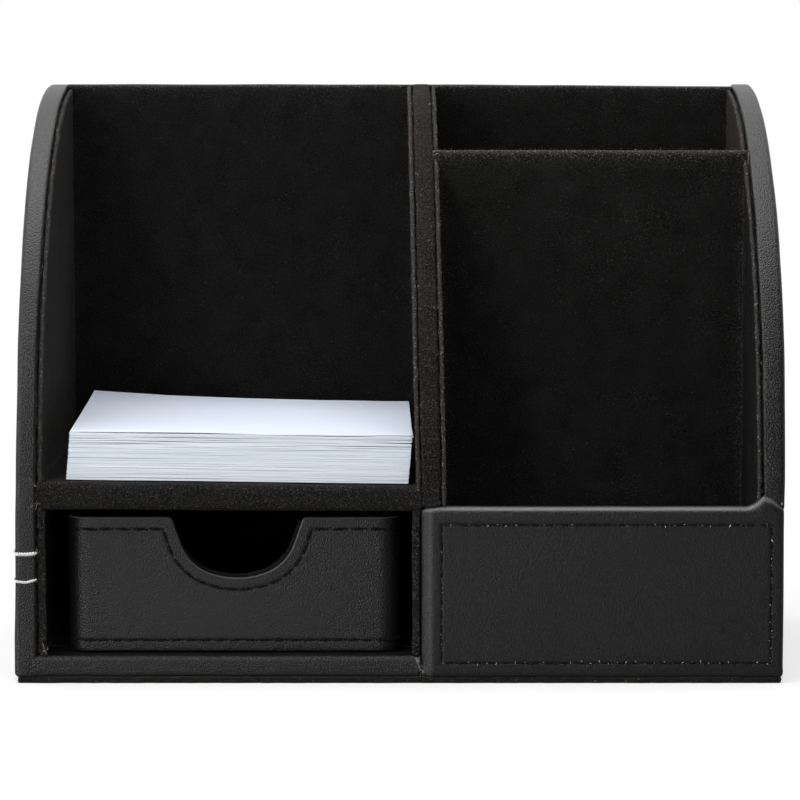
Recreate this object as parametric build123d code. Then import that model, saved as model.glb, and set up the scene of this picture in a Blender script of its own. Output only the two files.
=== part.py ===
from build123d import *
import os
from math import cos, radians, sin, sqrt, tan

# Desk organizer: a memo pad tray over a drawer on the left, two pen pockets on the right.
# Stiff boards are wrapped in imitation leather outside and lined with velvet inside.
# Millimetres. +Z is up, the front faces -Y, and the origin is the middle of the underside.

# ---- overall size ----
WIDTH = 200.0
DEPTH = 113.0
HEIGHT = 154.0

# ---- sheet materials ----
BOARD = 4.2  # boards of the outer walls
LEATHER = 0.6  # imitation leather, wrapped round the boards
VELVET = 0.5  # velvet, wrapped round the inner boards
CARD = 1.8  # velvet-covered lining card
DIVIDER_CARD = 2.0  # the same, on the divider
FELT = 1.6  # felt sheet under the base
FLOOR_LINING = 0.6  # velvet sheet on the floor
TURN_IN = 15.0  # leather folded over onto the far side of a board
EDGE_RADIUS = 1.0  # soft corner of wrapped leather
LINING_INSET = 1.2  # how far a lining card stops short of the wall's edge
FELT_SIDE_INSET = 0.4  # how far the felt lies inside the sides
FELT_END_INSET = 0.2  # and inside the front and back

# ---- layout, measured from the middle, the front plane and the underside ----
DIVIDER_X = 7.5  # middle of the upright divider
DIVIDER_CORE = 4.8  # its board with the velvet
DIVIDER_INSET = 0.8  # how far it stands inside the curve of the sides
BASE_TOP = 7.2
SHELF_BOTTOM = 45.2
SHELF_TOP = 52.0
SHELF_SETBACK = 1.0
PANEL_LEFT = 5.5  # left edge of the pocket's front panel
PANEL_GAP = 0.3  # seam between the panel and the leather beside it
PANEL_TOP = 46.2
PANEL_THICKNESS = 4.6
PARTITION_DEPTH = 51.5  # front face of the partition, behind the front plane
PARTITION_THICKNESS = 4.0
PARTITION_TOP = 137.0

# ---- drawer ----
DRAWER_WIDTH = 87.0
DRAWER_LENGTH = 98.0
DRAWER_X = -43.3
DRAWER_BOTTOM = 7.5
DRAWER_TOP = 42.9
DRAWER_SETBACK = 5.5
DRAWER_CORNER = 5.6  # radius of its upright corners
DRAWER_BOARD = 2.4
DRAWER_FLOOR = 2.0
DRAWER_LINING_DROP = 1.0  # the lining stops this far below the rim
NOTCH_X = -42.4  # middle of the finger notch
NOTCH_LOW = 27.0  # height of its lowest point
NOTCH_LOW_RADIUS = 21.0  # its flatter bottom arc
NOTCH_SIDE_RADIUS = 12.8  # the tighter arcs beside that
NOTCH_LOW_ANGLE = 20.0  # where the bottom arc ends, from straight down
NOTCH_SIDE_ANGLE = 70.6  # where the side arcs end and the straight flared sides begin
NOTCH_LIP = 0.8  # soft corner where the notch meets the rim
NOTCH_LINING = 1.2  # how far the velvet stands into the notch past the leather

# ---- memo paper ----
PAPER_SIZE = 90.0
PAPER_X = -42.35
PAPER_SETBACK = 6.0
PAPER_GAP = 0.3  # clearance over the shelf
BLOCK_HEIGHT = 11.8
LOOSE_HEIGHT = 1.1  # loose top sheets

# ---- seams ----
THREAD_WIDTH = 0.55
THREAD_HEIGHT = 0.3  # how deep a stitch lies in its channel
CHANNEL_WIDTH = 0.9
PITCH = 3.7  # black stitches, one to the next
STITCH = 2.7  # length of one stitch
PANEL_SEAM_INSET = 4.4  # pocket panel's seam from its left, right and lower edge
PANEL_SEAM_TOP = 4.6  # and from its top edge
DRAWER_SEAM_INSET = 3.1  # drawer's seams from the rim, the notch and the lower edge
SIDE_SEAM_HEIGHTS = (27.0, 34.3)  # two white seams on each outer side
SIDE_PITCH = 7.5
SIDE_STITCH = 5.8
SIDE_SEAM_END = 5.0  # from the back edge

# ---- worked out from the above ----
FRONT = -DEPTH / 2
BACK = DEPTH / 2
CURVE_RADIUS = DEPTH
CURVE_Z = HEIGHT - CURVE_RADIUS
WALL = BOARD + 2 * LEATHER
OUTER_X = WIDTH / 2
INNER_X = OUTER_X - WALL
LINED_X = INNER_X - CARD
BACK_WALL_Y = BACK - WALL
BACK_LINING_Y = BACK_WALL_Y - CARD
DIVIDER_LEFT = DIVIDER_X - DIVIDER_CORE / 2
DIVIDER_RIGHT = DIVIDER_X + DIVIDER_CORE / 2
DIVIDER_LINED_LEFT = DIVIDER_LEFT - DIVIDER_CARD
DIVIDER_LINED_RIGHT = DIVIDER_RIGHT + DIVIDER_CARD
PANEL_BACK_Y = FRONT + PANEL_THICKNESS
PARTITION_Y = FRONT + PARTITION_DEPTH
PARTITION_BACK_Y = PARTITION_Y + PARTITION_THICKNESS
FLOOR_BOARD_TOP = BASE_TOP - FLOOR_LINING
DRAWER_FRONT_Y = FRONT + DRAWER_SETBACK
DRAWER_BACK_Y = DRAWER_FRONT_Y + DRAWER_LENGTH
DRAWER_WALL = LEATHER + DRAWER_BOARD
FAR = 300.0  # longer than anything here, for cutting blocks
NEAR = 0.01  # two points closer than this are in the same place


def block(x, y, z):
    """A box given by its low and high value along each axis."""
    size = (x[1] - x[0], y[1] - y[0], z[1] - z[0])
    middle = ((x[0] + x[1]) / 2, (y[0] + y[1]) / 2, (z[0] + z[1]) / 2)
    return Pos(*middle) * Box(*size)


def curved_plate(x, inset, bottom):
    """An upright plate with the sides' outline: straight front below, quarter round above."""
    radius = CURVE_RADIUS - inset
    foot = (FRONT + inset, CURVE_Z)
    middle = (BACK - radius * cos(radians(45)), CURVE_Z + radius * sin(radians(45)))
    crown = (BACK - inset, CURVE_Z + sqrt(radius**2 - inset**2))
    straight = Polyline(crown, (BACK - inset, bottom), (FRONT + inset, bottom), foot)
    outline = Plane.YZ * make_face(straight + ThreePointArc(foot, middle, crown))
    return Pos(x[0], 0, 0) * extrude(outline, amount=x[1] - x[0], dir=(1, 0, 0))


def soft_edges(solid, lies_there):
    """Rounds the edges whose middle passes the test, as leather does round a board."""
    return fillet([edge for edge in solid.edges() if lies_there(edge.center())], EDGE_RADIUS)


def stitches(path, face, pitch, length):
    """Short bars of thread along a line drawn on a face, sunk flush with that face."""
    count = max(1, round(path.length / pitch))
    bars = []
    for number in range(count):
        place = (number + 0.5) / count
        lie = Plane(origin=path @ place, x_dir=path % place, z_dir=(0, 0, 1))
        bar = Pos(0, 0, -THREAD_HEIGHT / 2) * Box(length, THREAD_WIDTH, THREAD_HEIGHT)
        bars.append(face * lie * bar)
    return bars


def channel(path, face):
    """The shallow channel that a seam pulls into the leather along its line."""
    return face * extrude(trace(path, CHANNEL_WIDTH), amount=-THREAD_HEIGHT)


nodes = {}

# ---- base: felt sheet, board, leather round the board, velvet floor ----
base_x = (-INNER_X, INNER_X)
seat_x = PANEL_LEFT - PANEL_GAP
panel_seat = block((seat_x, FAR), (-FAR, PANEL_BACK_Y), (-FAR, PANEL_TOP))
panel_seat_board = block((seat_x - LEATHER, FAR), (-FAR, PANEL_BACK_Y + LEATHER),
                         (-FAR, PANEL_TOP + LEATHER))
base_board = block(base_x, (FRONT + LEATHER, BACK_WALL_Y), (FELT + LEATHER, FLOOR_BOARD_TOP))
base_board -= panel_seat_board
base_wrap = block(base_x, (FRONT, BACK_WALL_Y), (FELT, BASE_TOP))
base_wrap = soft_edges(base_wrap, lambda at: at.Y < FRONT + NEAR and abs(at.X) < NEAR)
base_window = block(base_x, (FRONT + TURN_IN, BACK_WALL_Y), (FLOOR_BOARD_TOP, BASE_TOP))
nodes["base_felt"] = block((-OUTER_X + FELT_SIDE_INSET, OUTER_X - FELT_SIDE_INSET),
                           (FRONT + FELT_END_INSET, BACK - FELT_END_INSET), (0, FELT))
nodes["base_board"] = base_board
nodes["base_leather"] = base_wrap - panel_seat - base_board - base_window
nodes["floor_lining"] = base_window

# ---- left and right side: board wrapped in leather, folded over onto the inside ----
for side, sign in (("left", -1), ("right", 1)):
    outer = sorted((sign * OUTER_X, sign * INNER_X))
    middle = sorted((sign * (OUTER_X - LEATHER), sign * (INNER_X + LEATHER)))
    inner = sorted((sign * (INNER_X + LEATHER), sign * INNER_X))
    wrap = soft_edges(curved_plate(outer, 0, FELT), lambda at: at.Z > FELT + EDGE_RADIUS)
    board = curved_plate(middle, LEATHER, FELT + LEATHER)
    seam_start = FRONT
    if side == "right":
        wrap -= panel_seat
        board -= panel_seat_board
        seam_start = PANEL_BACK_Y
    window = curved_plate(inner, TURN_IN, FELT + TURN_IN)
    leather = wrap - board - window

    # two white seams along the outer face; on the left their ends show on the front edge
    face = Plane(origin=(sign * OUTER_X, 0, 0), x_dir=(0, 1, 0), z_dir=(sign, 0, 0))
    seam = []
    for height in SIDE_SEAM_HEIGHTS:
        run_y = (seam_start + EDGE_RADIUS, BACK - SIDE_SEAM_END)
        run = Line((run_y[0], sign * height), (run_y[1], sign * height))
        seam += stitches(run, face, SIDE_PITCH, SIDE_STITCH)
        leather -= channel(run, face)
        if side == "left":
            end_z = (height - THREAD_WIDTH / 2, height + THREAD_WIDTH / 2)
            end_x = (-OUTER_X + EDGE_RADIUS, -INNER_X - EDGE_RADIUS)
            end = block(end_x, (FRONT, FRONT + THREAD_HEIGHT), end_z)
            leather -= end
            seam.append(end)
    nodes[side + "_side_board"] = board
    nodes[side + "_side_leather"] = leather
    nodes[side + "_side_seams"] = Compound(children=seam)

# ---- back wall, between the sides ----
back_wrap = block(base_x, (BACK_WALL_Y, BACK), (FELT, HEIGHT))
back_wrap = soft_edges(back_wrap, lambda at: at.Z > HEIGHT - EDGE_RADIUS and abs(at.X) < NEAR)
back_board = block(base_x, (BACK_WALL_Y + LEATHER, BACK - LEATHER),
                   (FELT + LEATHER, HEIGHT - LEATHER))
back_window = block(base_x, (BACK_WALL_Y, BACK_WALL_Y + LEATHER),
                    (FELT + TURN_IN, HEIGHT - TURN_IN))
nodes["back_board"] = back_board
nodes["back_leather"] = back_wrap - back_board - back_window

# ---- divider: one board with velvet folded round it ----
divider_wrap = curved_plate((DIVIDER_LEFT, DIVIDER_RIGHT), DIVIDER_INSET, BASE_TOP)
divider_board = curved_plate((DIVIDER_LEFT + VELVET, DIVIDER_RIGHT - VELVET),
                             DIVIDER_INSET + VELVET, BASE_TOP)
behind_back_wall = block((-FAR, FAR), (BACK_WALL_Y, FAR), (-FAR, FAR))
divider_seat = block((-FAR, FAR), (-FAR, PANEL_BACK_Y), (-FAR, PANEL_TOP))
divider_seat_board = block((-FAR, FAR), (-FAR, PANEL_BACK_Y + VELVET), (-FAR, PANEL_TOP + VELVET))
divider_wrap -= behind_back_wall + divider_seat
divider_board -= behind_back_wall + divider_seat_board
nodes["divider_board"] = divider_board
nodes["divider_velvet"] = divider_wrap - divider_board

# ---- shelf under the memo paper ----
shelf_x = (-INNER_X, DIVIDER_LEFT)
shelf_wrap = block(shelf_x, (FRONT + SHELF_SETBACK, BACK_WALL_Y), (SHELF_BOTTOM, SHELF_TOP))
shelf_middle = (shelf_x[0] + shelf_x[1]) / 2
shelf_wrap = soft_edges(shelf_wrap, lambda at: at.Y < 0 and abs(at.X - shelf_middle) < EDGE_RADIUS)
shelf_board = block(shelf_x, (FRONT + SHELF_SETBACK + VELVET, BACK_WALL_Y),
                    (SHELF_BOTTOM + VELVET, SHELF_TOP - VELVET))
nodes["shelf_board"] = shelf_board
nodes["shelf_velvet"] = shelf_wrap - shelf_board

# ---- partition between the two pockets ----
partition_x = (DIVIDER_RIGHT, INNER_X)
partition_wrap = block(partition_x, (PARTITION_Y, PARTITION_BACK_Y), (BASE_TOP, PARTITION_TOP))
partition_middle = (partition_x[0] + partition_x[1]) / 2
partition_wrap = soft_edges(partition_wrap, lambda at: at.Z > PARTITION_TOP - EDGE_RADIUS
                            and abs(at.X - partition_middle) < EDGE_RADIUS)
partition_board = block(partition_x, (PARTITION_Y + VELVET, PARTITION_BACK_Y - VELVET),
                        (BASE_TOP, PARTITION_TOP - VELVET))
nodes["partition_board"] = partition_board
nodes["partition_velvet"] = partition_wrap - partition_board

# ---- pocket's front panel, over the front edges of the base, divider and right side ----
panel_wrap = block((PANEL_LEFT, OUTER_X), (FRONT, PANEL_BACK_Y), (FELT, PANEL_TOP))
panel_wrap = soft_edges(panel_wrap, lambda at: at.Y < FRONT + NEAR or at.Z > PANEL_TOP - NEAR)
panel_board = block((PANEL_LEFT + LEATHER, OUTER_X - LEATHER),
                    (FRONT + LEATHER, PANEL_BACK_Y - LEATHER),
                    (FELT + LEATHER, PANEL_TOP - LEATHER))
panel_window = block((PANEL_LEFT + TURN_IN, OUTER_X - TURN_IN),
                     (PANEL_BACK_Y - LEATHER, PANEL_BACK_Y),
                     (FELT + TURN_IN, PANEL_TOP - TURN_IN))
seam_left = PANEL_LEFT + PANEL_SEAM_INSET
seam_right = OUTER_X - PANEL_SEAM_INSET
seam_low = FELT + PANEL_SEAM_INSET
seam_high = PANEL_TOP - PANEL_SEAM_TOP
corners = [(seam_left, seam_low), (seam_right, seam_low), (seam_right, seam_high),
           (seam_left, seam_high), (seam_left, seam_low)]
panel_face = Plane(origin=(0, FRONT, 0), x_dir=(1, 0, 0), z_dir=(0, -1, 0))
panel_seam = []
panel_leather = panel_wrap - panel_board - panel_window
for start, end in zip(corners, corners[1:]):
    run = Line(start, end)
    panel_seam += stitches(run, panel_face, PITCH, STITCH)
    panel_leather -= channel(run, panel_face)
nodes["front_panel_board"] = panel_board
nodes["front_panel_leather"] = panel_leather
nodes["front_panel_seam"] = Compound(children=panel_seam)

# ---- lining cards; each bay's side cards stand between its front and back ones ----
behind_back_lining = block((-FAR, FAR), (BACK_LINING_Y, FAR), (-FAR, FAR))
behind_partition = block((-FAR, FAR), (PARTITION_Y, FAR), (-FAR, FAR))
before_partition = block((-FAR, FAR), (-FAR, PARTITION_BACK_Y), (-FAR, FAR))
below_memo_bay = block((-FAR, FAR), (-FAR, FAR), (-FAR, SHELF_TOP))
for side, x in (("left", (-INNER_X, -LINED_X)), ("right", (DIVIDER_LINED_LEFT, DIVIDER_LEFT))):
    card = curved_plate(x, LINING_INSET, BASE_TOP)
    nodes["memo_bay_" + side + "_lining"] = card - below_memo_bay - behind_back_lining
nodes["memo_bay_back_lining"] = block(shelf_x, (BACK_LINING_Y, BACK_WALL_Y),
                                      (SHELF_TOP, HEIGHT - LINING_INSET))
card_y = (FRONT + LINING_INSET, BACK_LINING_Y)
card_z = (BASE_TOP, SHELF_BOTTOM)
nodes["drawer_bay_left_lining"] = block((-INNER_X, -LINED_X), card_y, card_z)
nodes["drawer_bay_right_lining"] = block((DIVIDER_LINED_LEFT, DIVIDER_LEFT), card_y, card_z)
nodes["drawer_bay_back_lining"] = block(shelf_x, (BACK_LINING_Y, BACK_WALL_Y), card_z)
for side, x in (("left", (DIVIDER_RIGHT, DIVIDER_LINED_RIGHT)), ("right", (LINED_X, INNER_X))):
    card = curved_plate(x, LINING_INSET, BASE_TOP)
    nodes["front_pocket_" + side + "_lining"] = card - behind_partition - divider_seat
    nodes["rear_pocket_" + side + "_lining"] = card - before_partition - behind_back_lining
nodes["front_pocket_front_lining"] = block((DIVIDER_LINED_RIGHT, LINED_X),
                                           (PANEL_BACK_Y, PANEL_BACK_Y + CARD),
                                           (BASE_TOP, PANEL_TOP - LINING_INSET))
nodes["rear_pocket_back_lining"] = block(partition_x, (BACK_LINING_Y, BACK_WALL_Y),
                                         (BASE_TOP, HEIGHT - LINING_INSET))


# ---- drawer ----
def drawer_prism(inset, low, high, corner):
    """The drawer's outline from above, drawn in by an inset, between two heights."""
    size = (DRAWER_WIDTH - 2 * inset, DRAWER_LENGTH - 2 * inset)
    footprint = RectangleRounded(*size, corner) if corner else Rectangle(*size)
    middle_y = (DRAWER_FRONT_Y + DRAWER_BACK_Y) / 2
    return Pos(DRAWER_X, middle_y, low) * extrude(footprint, amount=high - low, dir=(0, 0, 1))


def notch_curve(grow, rim):
    """The notch's edge from rim to rim, moved outwards: flared sides, side arcs, bottom arc."""
    low_turn = radians(NOTCH_LOW_ANGLE)
    side_turn = radians(NOTCH_SIDE_ANGLE)
    apart = NOTCH_LOW_RADIUS - NOTCH_SIDE_RADIUS
    side_centre = (apart * sin(low_turn), NOTCH_LOW + NOTCH_LOW_RADIUS - apart * cos(low_turn))
    side_radius = NOTCH_SIDE_RADIUS + grow

    def on_side_arc(turn):
        return side_centre[0] + side_radius * sin(turn), side_centre[1] - side_radius * cos(turn)

    low = on_side_arc(low_turn)
    middle = on_side_arc((low_turn + side_turn) / 2)
    high = on_side_arc(side_turn)
    tip = (high[0] + (rim - high[1]) / tan(side_turn), rim)
    curve = ThreePointArc((-low[0], low[1]), (0, NOTCH_LOW - grow), low)
    for sign in (-1, 1):
        curve += ThreePointArc(*[(sign * x, z) for x, z in (low, middle, high)])
        curve += Line((sign * high[0], high[1]), (sign * tip[0], rim))
    return Pos(NOTCH_X, 0) * curve, tip[0]


def notched(solid, grow, rim):
    """Cuts the finger notch into the front wall, with soft corners at the rim."""
    curve, reach = notch_curve(grow, rim)
    moon = make_face(curve + Line((NOTCH_X - reach, rim), (NOTCH_X + reach, rim)))
    wall = Pos(DRAWER_X, 0) * Rectangle(FAR, 2 * rim) - moon
    tips = [tip for tip in wall.vertices() if abs(abs(tip.X - NOTCH_X) - reach) < NEAR]
    wall = fillet(tips, NOTCH_LIP)
    front = extrude(Plane.XZ * wall, amount=FAR, both=True)
    rear = block((-FAR, FAR), (DRAWER_FRONT_Y + DRAWER_LENGTH / 2, FAR), (-FAR, FAR))
    return solid & (front + rear)


rim_board = DRAWER_TOP - LEATHER
wall_low = DRAWER_BOTTOM + DRAWER_FLOOR
frame = drawer_prism(LEATHER, wall_low, rim_board, DRAWER_CORNER - LEATHER)
frame -= drawer_prism(DRAWER_WALL, wall_low, rim_board, 0)
frame = notched(frame, LEATHER, rim_board)
inside_y = (DRAWER_FRONT_Y + DRAWER_WALL, DRAWER_BACK_Y - DRAWER_WALL)
nodes["drawer_front_board"] = frame & block((-FAR, FAR), (-FAR, inside_y[0]), (-FAR, FAR))
nodes["drawer_back_board"] = frame & block((-FAR, FAR), (inside_y[1], FAR), (-FAR, FAR))
nodes["drawer_left_board"] = frame & block((-FAR, DRAWER_X), inside_y, (-FAR, FAR))
nodes["drawer_right_board"] = frame & block((DRAWER_X, FAR), inside_y, (-FAR, FAR))
drawer_floor = drawer_prism(LEATHER, DRAWER_BOTTOM, wall_low, DRAWER_CORNER - LEATHER)
nodes["drawer_bottom_board"] = drawer_floor

drawer_wrap = drawer_prism(0, DRAWER_BOTTOM, DRAWER_TOP, DRAWER_CORNER)
drawer_wrap -= drawer_prism(DRAWER_WALL, DRAWER_BOTTOM, DRAWER_TOP, 0)
drawer_leather = notched(drawer_wrap, 0, DRAWER_TOP) - frame - drawer_floor

lining_top = DRAWER_TOP - DRAWER_LINING_DROP
drawer_lining = drawer_prism(DRAWER_WALL, wall_low, lining_top, 0)
drawer_lining -= drawer_prism(DRAWER_WALL + FLOOR_LINING, wall_low + FLOOR_LINING, lining_top, 0)
nodes["drawer_lining"] = notched(drawer_lining, -NOTCH_LINING, lining_top)

# seams: along the rim and round the notch, and along the lower edge
seam_z = DRAWER_TOP - DRAWER_SEAM_INSET
around_notch, reach = notch_curve(DRAWER_SEAM_INSET, seam_z)
seam_reach = DRAWER_WIDTH / 2 - DRAWER_CORNER
low_z = DRAWER_BOTTOM + DRAWER_SEAM_INSET
runs = [Line((DRAWER_X - seam_reach, seam_z), (NOTCH_X - reach, seam_z)),
        Wire(around_notch.edges()),
        Line((NOTCH_X + reach, seam_z), (DRAWER_X + seam_reach, seam_z)),
        Line((DRAWER_X - seam_reach, low_z), (DRAWER_X + seam_reach, low_z))]
drawer_face = Plane(origin=(0, DRAWER_FRONT_Y, 0), x_dir=(1, 0, 0), z_dir=(0, -1, 0))
drawer_seams = []
for run in runs:
    drawer_seams += stitches(run, drawer_face, PITCH, STITCH)
    drawer_leather -= channel(run, drawer_face)
nodes["drawer_leather"] = drawer_leather
nodes["drawer_seams"] = Compound(children=drawer_seams)

# ---- memo paper: the block and the loose sheets on top of it ----
paper_x = (PAPER_X - PAPER_SIZE / 2, PAPER_X + PAPER_SIZE / 2)
paper_y = (FRONT + PAPER_SETBACK, FRONT + PAPER_SETBACK + PAPER_SIZE)
block_low = SHELF_TOP + PAPER_GAP
block_high = block_low + BLOCK_HEIGHT
nodes["memo_block"] = block(paper_x, paper_y, (block_low, block_high))
nodes["memo_loose_sheets"] = block(paper_x, paper_y, (block_high, block_high + LOOSE_HEIGHT))

os.makedirs("parts", exist_ok=True)
for name, shape in nodes.items():
    export_step(shape, "parts/" + name + ".step")
print(len(nodes), "nodes written")
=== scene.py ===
import math
import bpy
import numpy as np
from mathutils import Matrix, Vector, noise


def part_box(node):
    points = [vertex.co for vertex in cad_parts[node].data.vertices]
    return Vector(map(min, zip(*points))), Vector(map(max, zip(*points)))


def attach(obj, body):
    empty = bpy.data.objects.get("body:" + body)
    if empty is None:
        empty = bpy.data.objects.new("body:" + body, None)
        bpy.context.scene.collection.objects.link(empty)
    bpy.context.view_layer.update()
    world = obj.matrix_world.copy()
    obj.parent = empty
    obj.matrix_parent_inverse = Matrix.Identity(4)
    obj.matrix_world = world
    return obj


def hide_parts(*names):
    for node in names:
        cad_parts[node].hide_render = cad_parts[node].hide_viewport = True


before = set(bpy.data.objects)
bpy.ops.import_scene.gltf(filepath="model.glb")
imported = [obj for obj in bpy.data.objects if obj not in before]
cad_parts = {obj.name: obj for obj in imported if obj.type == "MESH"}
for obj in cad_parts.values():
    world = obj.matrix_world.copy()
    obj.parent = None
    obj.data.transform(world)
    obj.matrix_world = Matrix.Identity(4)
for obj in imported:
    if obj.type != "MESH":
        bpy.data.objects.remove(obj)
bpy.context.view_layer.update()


# ---- boards ----
# The stiffeners are sheets of grey board, cut to shape and glued edge to edge. Leather and
# velvet hide all of them, so their solids stay as they are and only get their finish here.
class Value:
    """A socket of a node tree; maths on it adds the nodes for that maths."""

    def __init__(self, nodes, socket):
        self.nodes = nodes
        self.socket = socket

    def maths(self, operation, *terms):
        settings = {"operation": operation}
        return self.nodes.node("ShaderNodeMath", settings, dict(enumerate(terms)))

    def other(self, name):
        """Another output of the same node."""
        return Value(self.nodes, self.socket.node.outputs[name])

    def __add__(self, other):
        return self.maths("ADD", self, other)

    def __radd__(self, other):
        return self.maths("ADD", other, self)

    def __sub__(self, other):
        return self.maths("SUBTRACT", self, other)

    def __rsub__(self, other):
        return self.maths("SUBTRACT", other, self)

    def __mul__(self, other):
        return self.maths("MULTIPLY", self, other)

    def __rmul__(self, other):
        return self.maths("MULTIPLY", other, self)

    def __gt__(self, other):
        return self.maths("GREATER_THAN", self, other)

    def __lt__(self, other):
        return self.maths("LESS_THAN", self, other)


class Nodes:
    """A node tree in the making."""

    def __init__(self, tree):
        self.tree = tree

    def node(self, kind, settings=None, sockets=None, out=0):
        """Adds a node: its settings first, then a value, a link or a list of links per socket."""
        made = self.tree.nodes.new(kind)
        for name, setting in (settings or {}).items():
            setattr(made, name, setting)
        for name, given in (sockets or {}).items():
            if isinstance(given, (Value, list)):
                for end in given if isinstance(given, list) else [given]:
                    self.tree.links.new(end.socket, made.inputs[name])
            else:
                made.inputs[name].default_value = given
        return Value(self, made.outputs[out]) if made.outputs else None


class Finish(Nodes):
    """A material whose pattern comes from nodes; pattern sizes are in millimetres."""

    def __init__(self, name):
        self.material = bpy.data.materials.new(name)
        self.material.use_nodes = True
        super().__init__(self.material.node_tree)
        self.tree.nodes.clear()
        self.place = self.node("ShaderNodeTexCoord", out="Object")

    def stretched(self, across, along, up):
        """The place on the object, with the pattern drawn out along each axis."""
        scale = (1 / across, 1 / along, 1 / up)
        return self.node("ShaderNodeMapping", None, {"Vector": self.place, "Scale": scale})

    def cloud(self, size, detail=2.0, place=None):
        """Noise from 0 to 1 with blots of about the given size."""
        sockets = {"Vector": place or self.place, "Scale": 1000 / size, "Detail": detail}
        return self.node("ShaderNodeTexNoise", None, sockets)

    def cells(self, size, feature, out="Distance"):
        """Round cells of about the given size."""
        sockets = {"Vector": self.place, "Scale": 1000 / size}
        return self.node("ShaderNodeTexVoronoi", {"feature": feature}, sockets, out)

    def between(self, share, low, high):
        """A colour between two others."""
        low, high = (end if isinstance(end, Value) else (*end, 1) for end in (low, high))
        return self.node("ShaderNodeMix", {"data_type": "RGBA"}, {0: share, 6: low, 7: high}, out=2)

    def ramp(self, value, low, high):
        """0 below low, 1 above high and a straight rise between."""
        sockets = {"Value": value, "From Min": low, "From Max": high}
        return self.node("ShaderNodeMapRange", None, sockets)

    def relief(self, height, depth):
        """A surface normal for a relief of the given depth."""
        sockets = {"Height": height, "Distance": depth / 1000, "Strength": 1.0}
        return self.node("ShaderNodeBump", None, sockets)

    def surface(self, **sockets):
        """Ends the tree; each named socket has underscores for spaces."""
        named = {name.replace("_", " "): given for name, given in sockets.items()}
        return self.ended(self.node("ShaderNodeBsdfPrincipled", None, named))

    def ended(self, shader):
        """Leads a shader to the output and gives the material."""
        self.node("ShaderNodeOutputMaterial", None, {"Surface": shader})
        return self.material


def grey_board():
    finish = Finish("grey_board")
    flock = finish.cloud(0.6, 4.0)
    fibres = finish.cloud(1.0, 3.0, finish.stretched(4.0, 0.5, 0.5))
    colour = finish.between(finish.ramp(flock + fibres, 0.7, 1.3), (0.16, 0.15, 0.13), (0.34, 0.32, 0.29))
    return finish.surface(Base_Color=colour, Roughness=0.9, Normal=finish.relief(flock, 0.05))


board_finish = grey_board()
for name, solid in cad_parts.items():
    if name.endswith("_board"):
        for holder in solid.material_slots:
            holder.material = board_finish


# ---- felt sheet ----
# Pressed felt, 1.6 mm thick, glued under the whole case. It is cut a little smaller than the
# case, its cut edge is soft and uneven, and short hairs stand out of it.
MM = 0.001  # meshes are worked out in millimetres


def box_of(node):
    """A node's low and high x, y and z in millimetres."""
    low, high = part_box(node)
    return [(round(low[axis] / MM, 3), round(high[axis] / MM, 3)) for axis in range(3)]


def outline_of(corners_at, radii, step):
    """A closed outline as a function of its inset; each inset has the same number of points."""
    def rounded(inset):
        corners = np.array(corners_at(inset), float)
        points = []
        for which, corner in enumerate(corners):
            if which not in radii:
                points.append(corner)
                continue
            reach = max(radii[which] - inset, 0.05)
            back, ahead = corners[which - 1] - corner, corners[(which + 1) % len(corners)] - corner
            start = corner + back * reach / np.linalg.norm(back)
            end = corner + ahead * reach / np.linalg.norm(ahead)
            for share in np.linspace(0, 1, 6):
                there = (1 - share) ** 2 * start + share ** 2 * end
                points.append(there + 2 * share * (1 - share) * corner)
        return np.array(points)

    base = rounded(0)
    lengths = np.linalg.norm(np.roll(base, -1, 0) - base, axis=1)
    counts = [max(1, math.ceil(length / step)) for length in lengths]

    def outline(inset):
        points = rounded(inset)
        runs = zip(points, np.roll(points, -1, 0), counts)
        return np.vstack([a + (b - a) * np.arange(count)[:, None] / count for a, b, count in runs])
    return outline


def rectangle(across, up, radius=0.0, step=2.0):
    """A rectangle's outline, with round corners where a radius is given."""
    def corners(inset):
        left, right = across[0] + inset, across[1] - inset
        low, high = up[0] + inset, up[1] - inset
        return [(left, low), (right, low), (right, high), (left, high)]
    return outline_of(corners, {n: radius for n in range(4)} if radius else {}, step)


def wrapped_rings(outline, thickness, radii, near=((0.5, 0), (2.0, 0)), bead=0.0, wear_and_highlight=1.0):
    """Rings of (across, up, depth, edge) over a board: from the middle of its first face, round
    its soft edge, to the middle of the other. near lists insets past the edge and what they sink
    on the first face, and a bead swells the edge. edge falls from wear on the edge to 0 inside:
    the velvet paints that edge lighter, partly as scuffed pile and partly as a painted highlight."""
    middle = outline(0).mean(0)
    rings = []
    for side, radius in enumerate(radii):
        turns = np.linspace(0, math.pi / 2, 6)
        places = [(radius * (1 - math.sin(turn)), radius * (1 - math.cos(turn))) for turn in turns]
        flats = [(radius + inset, sink if side == 0 else 0) for inset, sink in reversed(near)]
        face = []
        inner = outline(flats[0][0])
        for share in (0.03, 0.2, 0.4, 0.6, 0.8, 0.93):
            face.append((middle + share * (inner - middle), 0.0, 0.0))
        for inset, depth in flats + places:
            swell = 1 + bead * math.exp(-(inset / 2.2) ** 2)
            face.append((outline(inset), depth, wear_and_highlight * math.exp(-inset / 1.5)))
            if side == 1:
                face[-1] = (face[-1][0], depth - thickness * (swell - 1), face[-1][2])
        if side == 1:
            face = [(points, thickness - depth, edge) for points, depth, edge in reversed(face)]
        rings += face
    count = len(rings[0][0])
    return np.array([np.column_stack([points, np.full(count, depth), np.full(count, edge)])
                     for points, depth, edge in rings])


def cavity_rings(outline, thickness, skin):
    """The space that the board fills inside its wrap."""
    points = outline(skin)
    middle = points.mean(0)
    rings = []
    for share, depth in ((0.05, skin), (1, skin), (1, thickness - skin), (0.05, thickness - skin)):
        flat = middle + share * (points - middle)
        rings.append(np.column_stack([flat, np.full(len(points), depth), np.zeros(len(points))]))
    return np.array(rings)


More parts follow.
